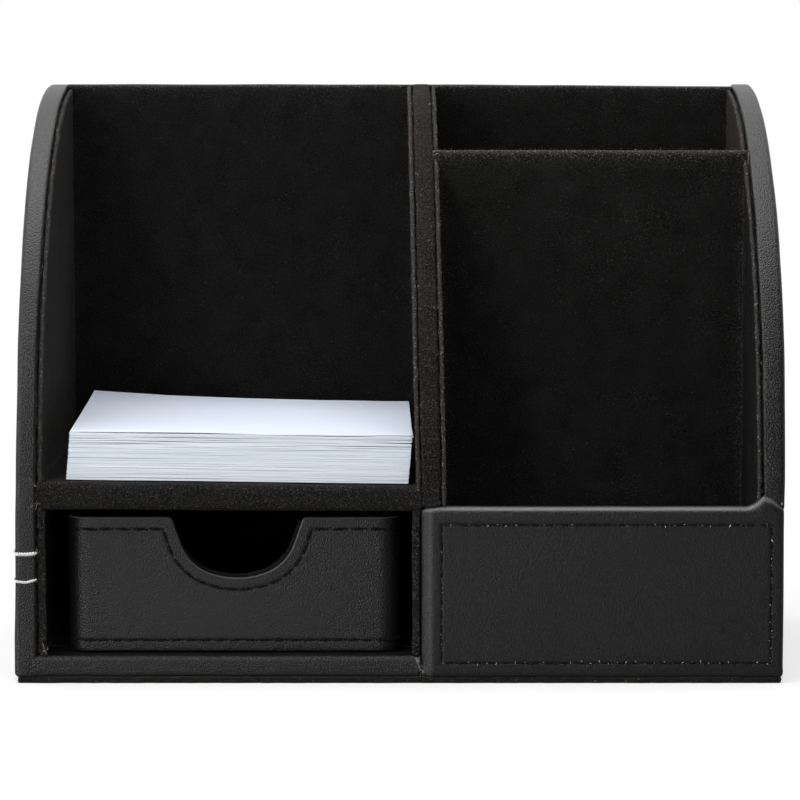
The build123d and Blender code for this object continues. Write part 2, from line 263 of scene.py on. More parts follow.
def lay(rings, order, start, direction=1):
    """Stands rings of (across, up, depth, edge) in the case: order names their axes in turn."""
    placed = rings.copy()
    placed[..., "XYZ".index(order[0])] = rings[..., 0]
    placed[..., "XYZ".index(order[1])] = rings[..., 1]
    placed[..., "XYZ".index(order[2])] = start + direction * rings[..., 2]
    return placed


def shell(rings, around=False, hollow=False):
    """Points and faces of a closed skin over rings, facing out, or in where it is a hollow."""
    count, size = rings.shape[:2]
    points = rings.reshape(-1, 4)
    ahead = np.roll(np.arange(size), -1)
    faces = []
    for ring in range(count if around else count - 1):
        here, there = ring * size, (ring + 1) % count * size
        faces += [(here + i, here + j, there + j, there + i) for i, j in enumerate(ahead)]
    if not around:
        faces.append(tuple(range(size - 1, -1, -1)))
        faces.append(tuple(range((count - 1) * size, count * size)))
    fans = np.array([(face[0], face[i], face[i + 1]) for face in faces for i in range(1, len(face) - 1)])
    a, b, c = (points[fans[:, corner], :3] for corner in range(3))
    if ((a * np.cross(b, c)).sum() < 0) != hollow:
        faces = [face[::-1] for face in faces]
    return points, faces


def wandering(rings, amount, size, seed):
    """Lets a skin wander a little, as hand-laid material does."""
    noise.seed_set(1)  # or else the noise takes its seed from the clock
    flat = rings.reshape(-1, 4).copy()
    offset = Vector((seed * 7.3, seed * 3.1, seed * 5.7))
    flat[:, :3] += amount * np.array([noise.noise_vector(Vector(p) / size + offset) for p in flat[:, :3]])
    return flat.reshape(rings.shape)


def piece(name, body, finish, shells, replaced=()):
    """Makes one mesh piece of closed skins, finishes it and puts it on a body."""
    points, faces = [], []
    for skin_points, skin_faces in shells:
        faces += [tuple(corner + len(points) for corner in face) for face in skin_faces]
        points += skin_points.tolist()
    points = np.array(points)
    mesh = bpy.data.meshes.new(name)
    mesh.from_pydata((points[:, :3] * MM).tolist(), [], faces)
    mesh.attributes.new("edge", "FLOAT", "POINT").data.foreach_set("value", points[:, 3])
    mesh.polygons.foreach_set("use_smooth", [True] * len(faces))
    mesh.set_sharp_from_angle(angle=math.radians(50))
    mesh.materials.append(finish)
    made = bpy.data.objects.new(name, mesh)
    bpy.context.scene.collection.objects.link(made)
    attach(made, body)
    if replaced:
        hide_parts(*replaced)
    return made


def felt():
    finish = Finish("pressed_felt")
    hairs = finish.cloud(1.0, 5.0, finish.stretched(1.2, 1.2, 0.4))
    flock = finish.cloud(0.35, 2.0)
    share = finish.ramp(hairs * 0.5 + flock * 0.5, 0.42, 0.66)
    colour = finish.between(share, (0.0016, 0.0014, 0.0012), (0.020, 0.0165, 0.0135))
    return finish.surface(Base_Color=colour, Roughness=0.95, Specular_IOR_Level=0.15,
                          Sheen_Weight=0.15, Normal=finish.relief(hairs + flock, 0.12))


felt_x, felt_y, felt_z = box_of("base_felt")
felt_rings = wrapped_rings(rectangle(felt_x, felt_y, 1.0, 1.0), felt_z[1] - felt_z[0], (0.35, 0.5))
felt_rings = lay(felt_rings, "XYZ", felt_z[0])
ragged = wandering(felt_rings, 0.25, 2.5, 1)
felt_rings[..., :2] = ragged[..., :2]
piece("felt_sheet", "case", felt(), [shell(felt_rings)], ["base_felt"])


# ---- base wrap ----
# Imitation leather round the base board: over its front edge, folded back on top and run
# underneath. Its left end is cut to a mitre and laid over the foot of the side.
SKIN = 0.6  # imitation leather's thickness


def leather(name, grain, depth):
    """Pressed grain of the given size and depth, with a painted highlight where the mesh's edge is high."""
    finish = Finish(name)
    pebbles = finish.cells(grain, "F1")
    fine = finish.cloud(grain * 0.67, 2.0)
    soft = finish.cloud(4.0, 2.0)
    patches = finish.cloud(22.0, 2.0)
    height = fine * 0.35 - pebbles * 1.2 + soft * 0.35
    pits = finish.ramp(pebbles, 0.15, 0.60) * 0.75 + patches * 0.25
    deep = finish.between(pits, (0.0125, 0.0123, 0.0130), (0.0010, 0.0010, 0.0012))
    edge = finish.node("ShaderNodeAttribute", {"attribute_name": "edge"}, out="Fac")
    # Lighter in random specks of the grain, and a painted highlight where the edge attribute is high.
    colour = finish.between(finish.ramp(edge + fine * 0.5, 0.3, 1.25), deep, (0.092, 0.092, 0.097))
    roughness = 0.30 + patches * 0.08 + fine * 0.08
    return finish.surface(Base_Color=colour, Roughness=roughness, Specular_IOR_Level=0.5,
                          Normal=finish.relief(height, depth))


leather_finish = leather("imitation_leather", 0.42, 0.12)
(base_left, _), (base_front, base_back), (base_low, base_high) = box_of("base_leather")
panel_x, panel_y, panel_z = box_of("front_panel_leather")
fold_y = box_of("floor_lining")[1][0]
base_right = panel_x[0] - 0.3
FRONT_ROUND = 1.5  # soft upper and lower edge of the base's front


def base_section():
    """The wrap's cross-section as (y, z): outer skin from the fold on top to the back, then inner."""
    outer = [(fold_y, base_high), (fold_y - 5, base_high)]
    for centre_z, first in ((base_high - FRONT_ROUND, 90), (base_low + FRONT_ROUND, 180)):
        for turn in np.radians(np.linspace(first, first + 90, 7)):
            outer.append((base_front + FRONT_ROUND + FRONT_ROUND * math.cos(turn),
                          centre_z + FRONT_ROUND * math.sin(turn)))
    outer.append((base_back, base_low))
    inner = [(base_back, base_low + SKIN), (base_front + SKIN, base_low + SKIN),
             (base_front + SKIN, base_high - SKIN), (fold_y, base_high - SKIN)]
    return np.array(outer + inner)


section = base_section()
MITRE = 3.4  # how far the mitred end reaches over the side's foot
JOINT_SLANT = 1.3  # how far its other end falls short of the panel at the top
rings = []
for x in np.linspace(base_left, base_right, 60):
    ring = np.column_stack([np.full(len(section), x), section, np.zeros(len(section))])
    over = np.clip((base_left + 7 - x) / 7, 0, 1) * (section[:, 0] < base_front + 1.2)
    ring[:, 0] -= over * MITRE * np.clip((base_high + 0.8 - section[:, 1]) / (base_high - base_low), 0, 1)
    ring[:, 1] -= 0.18 * over
    foot = np.clip((base_low + 3 - section[:, 1]) / 1.5, 0, 1) * (section[:, 0] < base_front + SKIN)
    ring[:, 1] -= 0.5 * foot * (section[:, 0] - base_front)
    slant = np.clip((x - base_right + 6) / 6, 0, 1) * (section[:, 1] - base_low) / (base_high - base_low)
    ring[:, 0] -= JOINT_SLANT * slant
    rings.append(ring)
front_strip = shell(wandering(np.array(rings), 0.10, 9.0, 2))
behind_panel = []
for low_y, high_y, low_z in ((panel_y[1], base_back, base_low), (panel_y[1], fold_y, base_high - SKIN)):
    sheet = rectangle((base_right, -base_left), (low_y, high_y), 0, 8.0)
    behind_panel.append(shell(lay(wrapped_rings(sheet, SKIN, (0.2, 0.2), wear_and_highlight=0), "XYZ", low_z)))
piece("base_wrap", "case", leather_finish, [front_strip, *behind_panel], ["base_leather"])


# ---- left and right side ----
# Each side is a board in the shape of a quarter round, wrapped in imitation leather that is
# folded over onto its inside. The right one stands behind the pocket's front panel.
side_x, side_y, side_z = box_of("left_side_leather")
wall = side_x[1] - side_x[0]
HALF_WIDTH = -side_x[0]
curve_radius = side_y[1] - side_y[0]
curve_z = side_z[1] - curve_radius


def curved(front, back, low, inset=0.0, panel_cut=None, radii=(0.0, 0.0), step=2.0):
    """The outline of a curved board in y and z, drawn in from the sides' own curve. Where the
    panel stands before it, panel_cut gives the y and z of the step that it is cut back to."""
    arc_points = 60

    def corners(more):
        radius = curve_radius - inset - more
        start = math.acos(min(1, (side_y[1] - front - more) / radius))
        foot = [(front + more, low + more)]
        if panel_cut:
            start = math.asin((panel_cut[1] + more - curve_z) / radius)
            foot = [(panel_cut[0] + more, low + more), (panel_cut[0] + more, panel_cut[1] + more)]
        end = math.acos((side_y[1] - back + more) / radius)
        turns = np.linspace(start, end, arc_points)
        arc = [(side_y[1] - radius * math.cos(t), curve_z + radius * math.sin(t)) for t in turns]
        if panel_cut:
            foot.append((arc[0][0] + 0.01, panel_cut[1] + more))
        return foot + arc + [(back - more, low + more)]
    last = arc_points + (3 if panel_cut else 1)
    rounds = {last - 1: radii[0], last: radii[1]}
    if not panel_cut:
        rounds[0] = radii[1]
    return outline_of(corners, {n: r for n, r in rounds.items() if r}, step)


# Heights on the outer faces, and how far the leather swells out there or is drawn in
BULGE = {"left": ((0, 12, 26, 35, 50, 70, 92, 113, 139, 154),
                  (0.4, 0.4, 0, 0, -0.2, -0.3, -0.2, 0, 0.3, 0.3)),
         "right": ((0, 40, 70, 92, 113, 130, 140, 154), (0, 0, 0.35, 0.55, 0.75, 0.6, 0.5, 0.2))}
panel_step = (panel_y[1], panel_z[1])
for side, sign, cut in (("left", -1, None), ("right", 1, (panel_y[1], panel_z[1] - 1.1))):
    shape = curved(side_y[0], side_y[1], side_z[0], 0, cut, (2.2, 0.8), 1.6)
    skin = lay(wrapped_rings(shape, wall, (1.35, 0.7), wear_and_highlight=0), "YZX", sign * HALF_WIDTH, -sign)
    skin = wandering(skin, 0.12, 14.0, 3 + sign)
    outside = np.clip((sign * skin[..., 0] - HALF_WIDTH + 4.0) / 3.0, 0, 1)
    skin[..., 0] += sign * outside * np.interp(skin[..., 2], *BULGE[side])
    if cut:
        low_front = np.clip((52.0 - skin[..., 2]) / 3.5, 0, 1) * (skin[..., 1] < -50)
        skin[..., 1] += 0.55 * low_front
    room = lay(cavity_rings(shape, wall, SKIN), "YZX", sign * HALF_WIDTH, -sign)
    piece(side + "_side_wrap", "case", leather_finish,
          [shell(skin), shell(room, hollow=True)], [side + "_side_leather"])


# ---- back wall ----
# A plain board wrapped in the same leather stands between the two sides. Its top edge sags a
# little towards the right.
back_x, back_y, back_z = box_of("back_leather")


def sagging_top(rings):
    """Lowers the top edge on the right, where the back wall dips."""
    rings = rings.copy()
    along = np.clip((rings[..., 0] - 12) / 70, 0, 1)
    rings[..., 2] -= 0.55 * along * np.clip((rings[..., 2] - back_z[1] + 30) / 30, 0, 1)
    return rings


shape = rectangle(back_x, back_z, 0, 2.5)
skin = lay(wrapped_rings(shape, wall, (0.45, 1.1), wear_and_highlight=0), "XZY", back_y[0])
room = lay(cavity_rings(shape, wall, SKIN), "XZY", back_y[0])
piece("back_wrap", "case", leather_finish,
      [shell(sagging_top(wandering(skin, 0.10, 16.0, 6))), shell(room, hollow=True)], ["back_leather"])


# ---- divider ----
# One board stands on the base and splits the case in two. Black velvet is folded round its
# curved edge, and the whole divider leans a little to the left towards its top.
def velvet(name, sheen):
    """Crushed pile with lint on it, frayed where the mesh's edge is high and painted lighter there, partly
    as scuffed pile and partly as a painted highlight.
    """
    finish = Finish(name)
    edge = finish.node("ShaderNodeAttribute", {"attribute_name": "edge"}, out="Fac")
    pile = finish.cloud(0.50, 2.0)
    tips = finish.cloud(0.28, 1.0)
    crushed = finish.cloud(7.0, 4.0)
    lint = (finish.cells(2.1, "F1") < 0.085) * (finish.cells(2.1, "F1", "Color") > 0.45)
    hairs = (finish.cells(0.62, "F1") < 0.30) * (finish.cells(0.62, "F1", "Color") > 0.62)
    tone = finish.ramp(pile * 0.3 + tips * 0.3 + crushed * 0.4, 0.34, 0.66)
    face = finish.between(tone, (0.0031, 0.0030, 0.0029), (0.0126, 0.0120, 0.0116))
    # The edge is painted lighter: partly scuffed pile, partly a painted highlight.
    scuff_and_highlight_share = finish.ramp(edge * 0.8 + tips * 2.4, 1.35, 2.5)
    scuffed_and_highlit = finish.between(scuff_and_highlight_share, face, (0.076, 0.070, 0.067))
    frayed = finish.between(hairs * finish.ramp(edge, 0.05, 0.7), scuffed_and_highlit, (0.17, 0.155, 0.15))
    colour = finish.between(lint, frayed, (0.045, 0.043, 0.041))
    return finish.surface(Base_Color=colour, Roughness=0.95, Specular_IOR_Level=0.05,
                          Sheen_Weight=sheen, Sheen_Roughness=0.35, Sheen_Tint=(0.80, 0.74, 0.70, 1),
                          Normal=finish.relief(pile + tips * 0.8, 0.28))


velvet_finish = velvet("velvet", 0.05)
brushed_finish = velvet("brushed_velvet", 0.0)  # brushed flat, so that it has no sheen
divider_x, divider_y, divider_z = box_of("divider_velvet")
divider_middle = (divider_x[0] + divider_x[1]) / 2
LEAN_FOOT = 0.65  # how far right the divider stands at the height of the shelf
LEAN = 0.0206  # and how much it leans left for each millimetre above that
LEAN_REACH = 28.0  # parts within this distance lean with it


def leaning(rings):
    """Moves what is near the divider as far as the divider leans at that height."""
    rings = rings.copy()
    shift = LEAN_FOOT - LEAN * np.maximum(rings[..., 2] - 55, 0)
    away = np.abs(rings[..., 0] - divider_middle)
    rings[..., 0] += shift * np.clip((LEAN_REACH - away) / (LEAN_REACH - 8), 0, 1)
    return rings


DIVIDER_INSET = 0.8  # how far the divider stands inside the sides' curve
VELVET = 0.5  # velvet's thickness
TOP_LIFT = 1.05  # how far the divider's top end stands up over the back wall


def raised(rings):
    """Draws the upper end of the divider and its cards up over the back wall's top edge."""
    rings = rings.copy()
    rings[..., 2] += TOP_LIFT * np.clip((rings[..., 2] - 118) / 34, 0, 1) ** 2
    return rings


thickness = divider_x[1] - divider_x[0]
shape = curved(side_y[0] + DIVIDER_INSET, divider_y[1], divider_z[0], DIVIDER_INSET, panel_step, step=1.3)
skin = lay(wrapped_rings(shape, thickness, (0.9, 0.9), wear_and_highlight=0.2), "YZX", divider_x[0])
room = leaning(raised(lay(cavity_rings(shape, thickness, VELVET), "YZX", divider_x[0])))
piece("divider_cover", "case", velvet_finish,
      [shell(leaning(raised(wandering(skin, 0.10, 5.0, 8)))), shell(room, hollow=True)],
      ["divider_velvet"])
piece("divider_stiffener", "case", board_finish, [shell(room)], ["divider_board"])


# ---- shelf and partition ----
# The shelf lies between the left side and the divider and carries the memo paper, and the
# partition stands between the two pockets. Both are boards folded into velvet.
shelf_x, shelf_y, shelf_z = box_of("shelf_velvet")
SHELF_FALL = 0.0133  # the shelf falls this much per millimetre to the right


def sagging(rings):
    """Lowers the shelf's right end and lifts its left one; its underside follows less."""
    rings = rings.copy()
    middle_x, middle_z = sum(shelf_x) / 2, shelf_z[0]
    follow = 0.4 + 0.6 * np.clip((rings[..., 2] - middle_z) / (shelf_z[1] - shelf_z[0]), 0, 1)
    rings[..., 2] -= SHELF_FALL * follow * (rings[..., 0] - middle_x)
    return rings


shape = rectangle(shelf_x, shelf_y, 0, 1.3)
thickness = shelf_z[1] - shelf_z[0]
skin = lay(wrapped_rings(shape, thickness, (1.3, 1.7), wear_and_highlight=0.2), "XYZ", shelf_z[0])
room = sagging(lay(cavity_rings(shape, thickness, VELVET), "XYZ", shelf_z[0]))
piece("shelf_cover", "case", velvet_finish,
      [shell(sagging(leaning(wandering(skin, 0.14, 6.0, 9)))), shell(room, hollow=True)],
      ["shelf_velvet"])
piece("shelf_stiffener", "case", board_finish, [shell(room)], ["shelf_board"])

partition_x, partition_y, partition_z = box_of("partition_velvet")
shape = rectangle(partition_x, partition_z, 0, 1.3)
thickness = partition_y[1] - partition_y[0]
# Its top edge is painted lighter: scuffed pile and a painted highlight.
skin = lay(wrapped_rings(shape, thickness, (1.3, 1.3), wear_and_highlight=0.9), "XZY", partition_y[0])
room = lay(cavity_rings(shape, thickness, VELVET), "XZY", partition_y[0])
piece("partition_cover", "case", velvet_finish,
      [shell(leaning(wandering(skin, 0.12, 6.0, 10))), shell(leaning(room), hollow=True)],
      ["partition_velvet"])


# ---- linings ----
# Velvet-covered cards are glued against the walls of every bay. The velvet is folded round the
# edge of each card, so that a soft bead runs along the curve beside the leather.
CARD = 0.75  # a card's thickness
CARD_GAP = 0.45  # between a card and its wall
BEAD = 0.55  # how much thicker its folded edge is, as a share
CARD_TOP = 0.25  # how far a back card stops below the back wall's top edge
LINING_INSET = 1.2  # how far the cards stop inside the sides' curve
for bay in ("memo_bay", "drawer_bay", "front_pocket", "rear_pocket"):
    for side in ("left", "right"):
        node = bay + "_" + side + "_lining"
        card_x, card_y, card_z = box_of(node)
        cut = panel_step if bay == "front_pocket" else None
        if bay == "drawer_bay":
            shape = rectangle(card_y, card_z, 0, 1.3)
        elif bay == "rear_pocket":
            shape = curved(card_y[0], card_y[1], card_z[0], LINING_INSET, None, step=1.3)
        else:
            shape = curved(side_y[0] + LINING_INSET, card_y[1], card_z[0], LINING_INSET, cut, step=1.3)
        faces_right = card_x[1] < 0 or bay in ("front_pocket", "rear_pocket") and side == "left"
        on_divider = min(abs(card_x[0] - divider_middle), abs(card_x[1] - divider_middle)) < 5
        bead = BEAD * (3.4 if bay == "drawer_bay" else 1.0)
        start, direction = (card_x[0] + CARD_GAP, 1) if faces_right else (card_x[1] - CARD_GAP, -1)
        # How much lighter each lining's folded edge is painted: scuffed pile and a painted highlight.
        wear_and_highlight = 0.25 if bay == "drawer_bay" else 0.85
        skin = wrapped_rings(shape, CARD, (0.6, 0.7), ((0.4, 0), (1.4, 0), (2.6, 0), (4.2, 0)), bead, wear_and_highlight)
        skin = wandering(lay(skin, "YZX", start, direction), 0.22, 2.6, len(node))
        skin = leaning(raised(skin) if on_divider else skin)
        finish = brushed_finish if node == "front_pocket_right_lining" else velvet_finish
        piece(node + "_card", "case", finish, [shell(skin)], [node])

for node in ("memo_bay_back_lining", "drawer_bay_back_lining", "rear_pocket_back_lining",
             "front_pocket_front_lining"):
    card_x, card_y, card_z = box_of(node)
    high = card_z[1]
    if high > back_z[1] - 5:
        high = back_z[1] - CARD_TOP
    shape = rectangle(card_x, (card_z[0], high), 0, 1.6)
    direction = 1 if node == "front_pocket_front_lining" else -1
    start = card_y[0] if direction == 1 else card_y[1]
    skin = wrapped_rings(shape, card_y[1] - card_y[0], (0.5, 0.7), wear_and_highlight=0.5)
    skin = lay(skin, "XZY", start, direction)
    skin = sagging_top(leaning(wandering(skin, 0.12, 7.0, len(node))))
    piece(node + "_card", "case", velvet_finish, [shell(skin)], [node])

floor_x, floor_y, floor_z = box_of("floor_lining")
skin = lay(wrapped_rings(rectangle(floor_x, floor_y, 0, 3.0), SKIN, (0.2, 0.2)), "XYZ", floor_z[0])
piece("floor_velvet", "case", velvet_finish, [shell(skin)], ["floor_lining"])


# ---- pocket front panel ----
# A board wrapped in leather is glued over the front of the pocket, with a rectangle sewn round
# it. At its upper right corner the leather is drawn up in a gusset onto the side.
PANEL_ROUND = (1.5, 1.0)  # soft edges of its front and its back
PANEL_PADDING = 1.3  # leather and what lies under it, over the board
TOP_FALL = (0.50, 2.4)  # how much its face falls off to the top, and over what reach
LEFT_FALL = (0.4, 3.0)  # and to the left
SEAM_INSET = 4.4  # seam from the panel's left, right and lower edge
SEAM_TOP = 4.6  # seam from its top edge
SEAM_SHIFT = (1.0, -0.6)  # the sewing sits this far off the middle
PITCH = 3.7  # black stitches, one to the next
GUSSET_HIGH = 2.9  # how high the gusset stands over the panel's top edge
GUSSET_X = (90.6, 92.4, 94.4, 96.4, 99.8)  # from where it starts to where it ends
GUSSET_RISE = (0, 0.3, 1, 0.86, 0)  # and how high it stands there, as a share

panel_leather = leather("smooth_leather", 0.36, 0.075)  # its grain is finer than the rest's
panel_depth = panel_y[1] - panel_y[0]
from_round = SEAM_INSET - PANEL_ROUND[0]
near = ((0.5, -0.02), (1.4, -0.04), (from_round - 0.6, -0.02), (from_round - 0.3, 0.0),
        (from_round - 0.12, 0.08), (from_round, 0.11), (from_round + 0.12, 0.08), (from_round + 0.3, 0.0),
        (from_round + 0.8, -0.01), (from_round + 2, 0), (from_round + 5, 0))
shape = rectangle(panel_x, panel_z, 1.5, 0.62)
skin = lay(wrapped_rings(shape, panel_depth, PANEL_ROUND, near, wear_and_highlight=0), "XZY", panel_y[0])
skin = wandering(skin, 0.14, 17.0, 12)
on_front = skin[..., 1] < panel_y[0] + 2
# The leather is painted lighter along the panel's upper edge and on a line near its left edge: painted
# highlights.
skin[..., 3] = 1.2 * on_front * np.exp(-((panel_z[1] - 0.45 - skin[..., 2]) / 0.42) ** 2)
skin[..., 3] += 0.45 * on_front * np.exp(-((skin[..., 0] - panel_x[0] - 1.9) / 0.5) ** 2)
to_seam = np.minimum(skin[..., 0] - panel_x[0], panel_x[1] - skin[..., 0]) / SEAM_INSET
skin[..., 0] += SEAM_SHIFT[0] * np.clip(to_seam, 0, 1)
to_seam = np.clip((skin[..., 2] - panel_z[0]) / SEAM_INSET, 0, 1)
skin[..., 2] += SEAM_SHIFT[1] * to_seam * np.clip((24 - skin[..., 2]) / 12, 0, 1)
upper = np.clip((skin[..., 2] - panel_z[1] + SEAM_TOP) / SEAM_TOP, 0, 1)
rise = np.interp(skin[..., 0], GUSSET_X, GUSSET_RISE) * upper
skin[..., 2] += GUSSET_HIGH * rise
skin[..., 1] -= 0.3 * rise * on_front
for to_edge, fall, reach in ((panel_z[1] - skin[..., 2], *TOP_FALL),
                             (skin[..., 0] - panel_x[0], *LEFT_FALL)):
    near_edge = np.clip(1 - to_edge / reach, 0, 1) * (skin[..., 1] < panel_y[0] + 2)
    skin[..., 1] += fall * near_edge ** 2 * (1 - rise)
foot = np.clip((panel_z[0] + 3 - skin[..., 2]) / 1.5, 0, 1) * (skin[..., 1] < panel_y[0] + PANEL_ROUND[0])
skin[..., 1] -= 0.5 * foot * (skin[..., 1] - panel_y[0])
dip = np.clip((panel_x[0] + 5 - skin[..., 0]) / 5, 0, 1)
skin[..., 2] -= 0.6 * dip ** 1.5 * np.clip((skin[..., 2] - panel_z[1] + SEAM_TOP) / SEAM_TOP, 0, 1)
room = cavity_rings(rectangle(panel_x, panel_z, 0, 3.0), panel_depth, PANEL_PADDING)
room = lay(room, "XZY", panel_y[0])
piece("front_panel_wrap", "case", panel_leather,
      [shell(skin), shell(room, hollow=True)], ["front_panel_leather"])
piece("front_panel_stiffener", "case", board_finish, [shell(room)], ["front_panel_board"])


# ---- drawer ----
# An open box of thin board, wrapped in leather from its underside over its rim, with round
# upright corners and a finger notch, and lined with velvet that shows as a band in the notch.
drawer_x, drawer_y, drawer_z = box_of("drawer_leather")
NOTCH_X = -42.4  # the notch's middle
NOTCH_LOW = 27.0
NOTCH_RADII = (21.0, 12.8)  # bottom arc and the tighter arcs beside it
NOTCH_TURNS = (20.0, 70.6)  # where each ends, in degrees from straight down
NOTCH_LIP = 0.9  # soft corner where the notch meets the rim
EVEN_OUT = 6.5  # below this the rows no longer follow the notch


def half_front(drop, grow, top, reach):
    """The front wall's row a given distance under its rim, from under the notch to the corner."""
    low_turn, side_turn = np.radians(NOTCH_TURNS)
    apart = NOTCH_RADII[0] - NOTCH_RADII[1]
    centre_z = NOTCH_LOW + NOTCH_RADII[0]
    side_x, side_z = apart * math.sin(low_turn), centre_z - apart * math.cos(low_turn)
    low_radius, side_radius = NOTCH_RADII[0] + grow + drop, NOTCH_RADII[1] + grow + drop
    points = [(low_radius * math.sin(t), centre_z - low_radius * math.cos(t))
              for t in np.linspace(0, low_turn, 8)]
    points += [(side_x + side_radius * math.sin(t), side_z - side_radius * math.cos(t))
               for t in np.linspace(low_turn, side_turn, 14)[1:]]
    high = np.array(points[-1])
    tip = high + np.array([1 / math.tan(side_turn), 1]) * (top - drop - high[1])
    lip = max(NOTCH_LIP - max(drop, 0), 0.04)
    start = tip - (tip - high) * lip / np.linalg.norm(tip - high)
    points += [tuple(high + (start - high) * share) for share in np.linspace(0, 1, 12)[1:]]
    end = tip + np.array([lip, 0])
    for share in np.linspace(0, 1, 6)[1:]:
        points.append(tuple((1 - share) ** 2 * start + share ** 2 * end + 2 * share * (1 - share) * tip))
    points += [(x, top - drop) for x in np.linspace(end[0], reach, 45)[1:]]
    return np.array(points)


class DrawerWalls:
    """The four walls' rings: the front row follows the notch, the rest goes round the plan."""

    def __init__(self, inset, corner, top, bottom, grow=0.0, shift=0.0):
        self.x = (drawer_x[0] + inset, drawer_x[1] - inset)
        self.y = (drawer_y[0] + inset, drawer_y[1] - inset)
        self.corner, self.top, self.bottom = corner, top, bottom
        self.grow, self.notch = grow, NOTCH_X + shift
        self.plan = self.round_plan()

    def front(self, drop):
        """x and z across the front wall, from left to right."""
        near = min(drop, EVEN_OUT)
        left = half_front(near, self.grow, self.top, self.notch - self.x[0] - self.corner)
        right = half_front(near, self.grow, self.top, self.x[1] - self.corner - self.notch)
        row = np.vstack([left[:0:-1] * (-1, 1), right]) + (self.notch, 0)
        if drop > EVEN_OUT:
            share = min(1, (drop - EVEN_OUT) / (self.top - self.bottom - EVEN_OUT - 5))
            even = np.linspace(row[0, 0], row[-1, 0], len(row))
            row[:, 0] += 0.5 * share * (even - row[:, 0])
            row[:, 1] = self.top - drop + (1 - share) * (row[:, 1] - self.top + EVEN_OUT)
        return row

    def round_plan(self):
        """Places (x, y) and outward directions round the other three walls and the corners."""
        places = []
        turn = -90.0
        for across, along, length in ((1, 0, self.y[1] - self.y[0]), (1, 1, self.x[1] - self.x[0]),
                                      (0, 1, self.y[1] - self.y[0]), (0, 0, 0)):
            centre = np.array([self.x[across] + (1 - 2 * across) * self.corner,
                               self.y[along] + (1 - 2 * along) * self.corner])
            for angle in np.radians(np.linspace(turn, turn + 90, 8)):
                out = np.array([math.cos(angle), math.sin(angle)])
                places.append((centre + self.corner * out, out))
            turn += 90
            run = length - 2 * self.corner
            ahead = np.array([-math.sin(math.radians(turn)), math.cos(math.radians(turn))])
            count = int(run / 3) if length else 0
            places += [(places[-1][0] + ahead * run * step / count, out) for step in range(1, count)]
        return places[1:-1]

    def ring(self, drop, deep, sink=0.0):
        """One closed ring round the walls: drop under the rim, deep into the wall."""
        row = self.front(drop)
        ring = [(x, self.y[0] + deep + sink, z, 0) for x, z in row]
        fade = [0.8, 0.5, 0.25, 0.1, 0.0, 0.0]
        for count, (place, out) in enumerate(self.plan):
            near_front = min(count, len(self.plan) - 1 - count)
            spot = place - out * (deep + sink * (fade[near_front] if near_front < 6 else 0))
            ring.append((*spot, self.top - drop, 0))
        return ring


DRAWER_CORNER = 5.6  # the upright corners' radius
RIM_ROUND = 0.45
DRAWER_WALL = 3.0  # board and leather
DRAWER_SEAM = 3.1  # seams from the rim, the notch and the lower edge
height = drawer_z[1] - drawer_z[0]
walls = DrawerWalls(0, DRAWER_CORNER, drawer_z[1], drawer_z[0])
rows = [(height, 0.6, 0), (height, 0.4, 0), (height - 0.12, 0.12, 0), (height - 0.4, 0, 0),
        (height - 1.2, 0, -0.05)]
around_seam = ((0.9, -0.02), (0.35, 0), (0.15, 0.08), (0, 0.11), (-0.15, 0.08), (-0.35, 0), (-0.9, -0.01))
rows += [(height - DRAWER_SEAM + off, 0, sink) for off, sink in around_seam]
rows += [(drop, 0, 0) for drop in (28, 24, 20, 16, 12, 9, 6.5, 5)]
rows += [(DRAWER_SEAM + off, 0, sink) for off, sink in around_seam]
rows += [(1.5, 0, -0.02), (0.6, 0, 0)]
for turn in np.linspace(0, math.pi / 2, 6):
    rows.append((RIM_ROUND * (1 - math.sin(turn)), RIM_ROUND * (1 - math.cos(turn)), 0))
for turn in np.linspace(math.pi / 2, 0, 5):
    rows.append((0.8 * (1 - math.sin(turn)), DRAWER_WALL - 0.8 * (1 - math.cos(turn)), 0))
rows += [(1.7, DRAWER_WALL, 0), (1.7, 2.4, 0), (SKIN, 2.4, 0), (SKIN, SKIN, 0)]
rows += [(drop, SKIN, 0) for drop in (1.7, 3.1, 5, 6.5, 12, 22)]
skin = np.array([walls.ring(*row) for row in rows])
# A thin line along the rim's round is painted lighter: a painted highlight.
for row, (drop, deep, _) in enumerate(rows):
    skin[row, :, 3] = 0.9 if 0.01 < drop < 0.25 and deep < 0.4 else 0.0
skin = wandering(skin, 0.10, 15.0, 20)
piece("drawer_wrap", "drawer", leather_finish, [shell(skin, around=True)], ["drawer_leather"])

LINING = 0.7  # the drawer's velvet and its card
lining_z = box_of("drawer_lining")[2]
lining = DrawerWalls(DRAWER_WALL, DRAWER_CORNER - DRAWER_WALL, lining_z[1], lining_z[0], -0.6, -0.35)
rows = [(lining_z[1] - lining_z[0], 0.0), (20, 0.0), (6.5, 0.0), (2.0, 0.0), (0.35, 0.0), (0.1, 0.1),
        (0, 0.35), (0.1, 0.6), (0.35, LINING), (2.0, LINING), (6.5, LINING), (20, LINING),
        (lining_z[1] - lining_z[0], LINING)]
skin = np.array([lining.ring(*row) for row in rows])
floor = rectangle(lining.x, lining.y, 1.0, 3.0)
floor_rings = lay(wrapped_rings(floor, SKIN, (0.2, 0.2)), "XYZ", lining_z[0])
piece("drawer_inside", "drawer", velvet_finish,
      [shell(wandering(skin, 0.12, 6.0, 22), around=True), shell(floor_rings)], ["drawer_lining"])


# ---- memo paper ----
# A block of 90 mm square sheets, with a few loose ones on top. The sheets lie a little askew,
# and the loose ones lift at their rear left corner.
paper_x, paper_y, block_z = box_of("memo_block")
loose_z = box_of("memo_loose_sheets")[2]


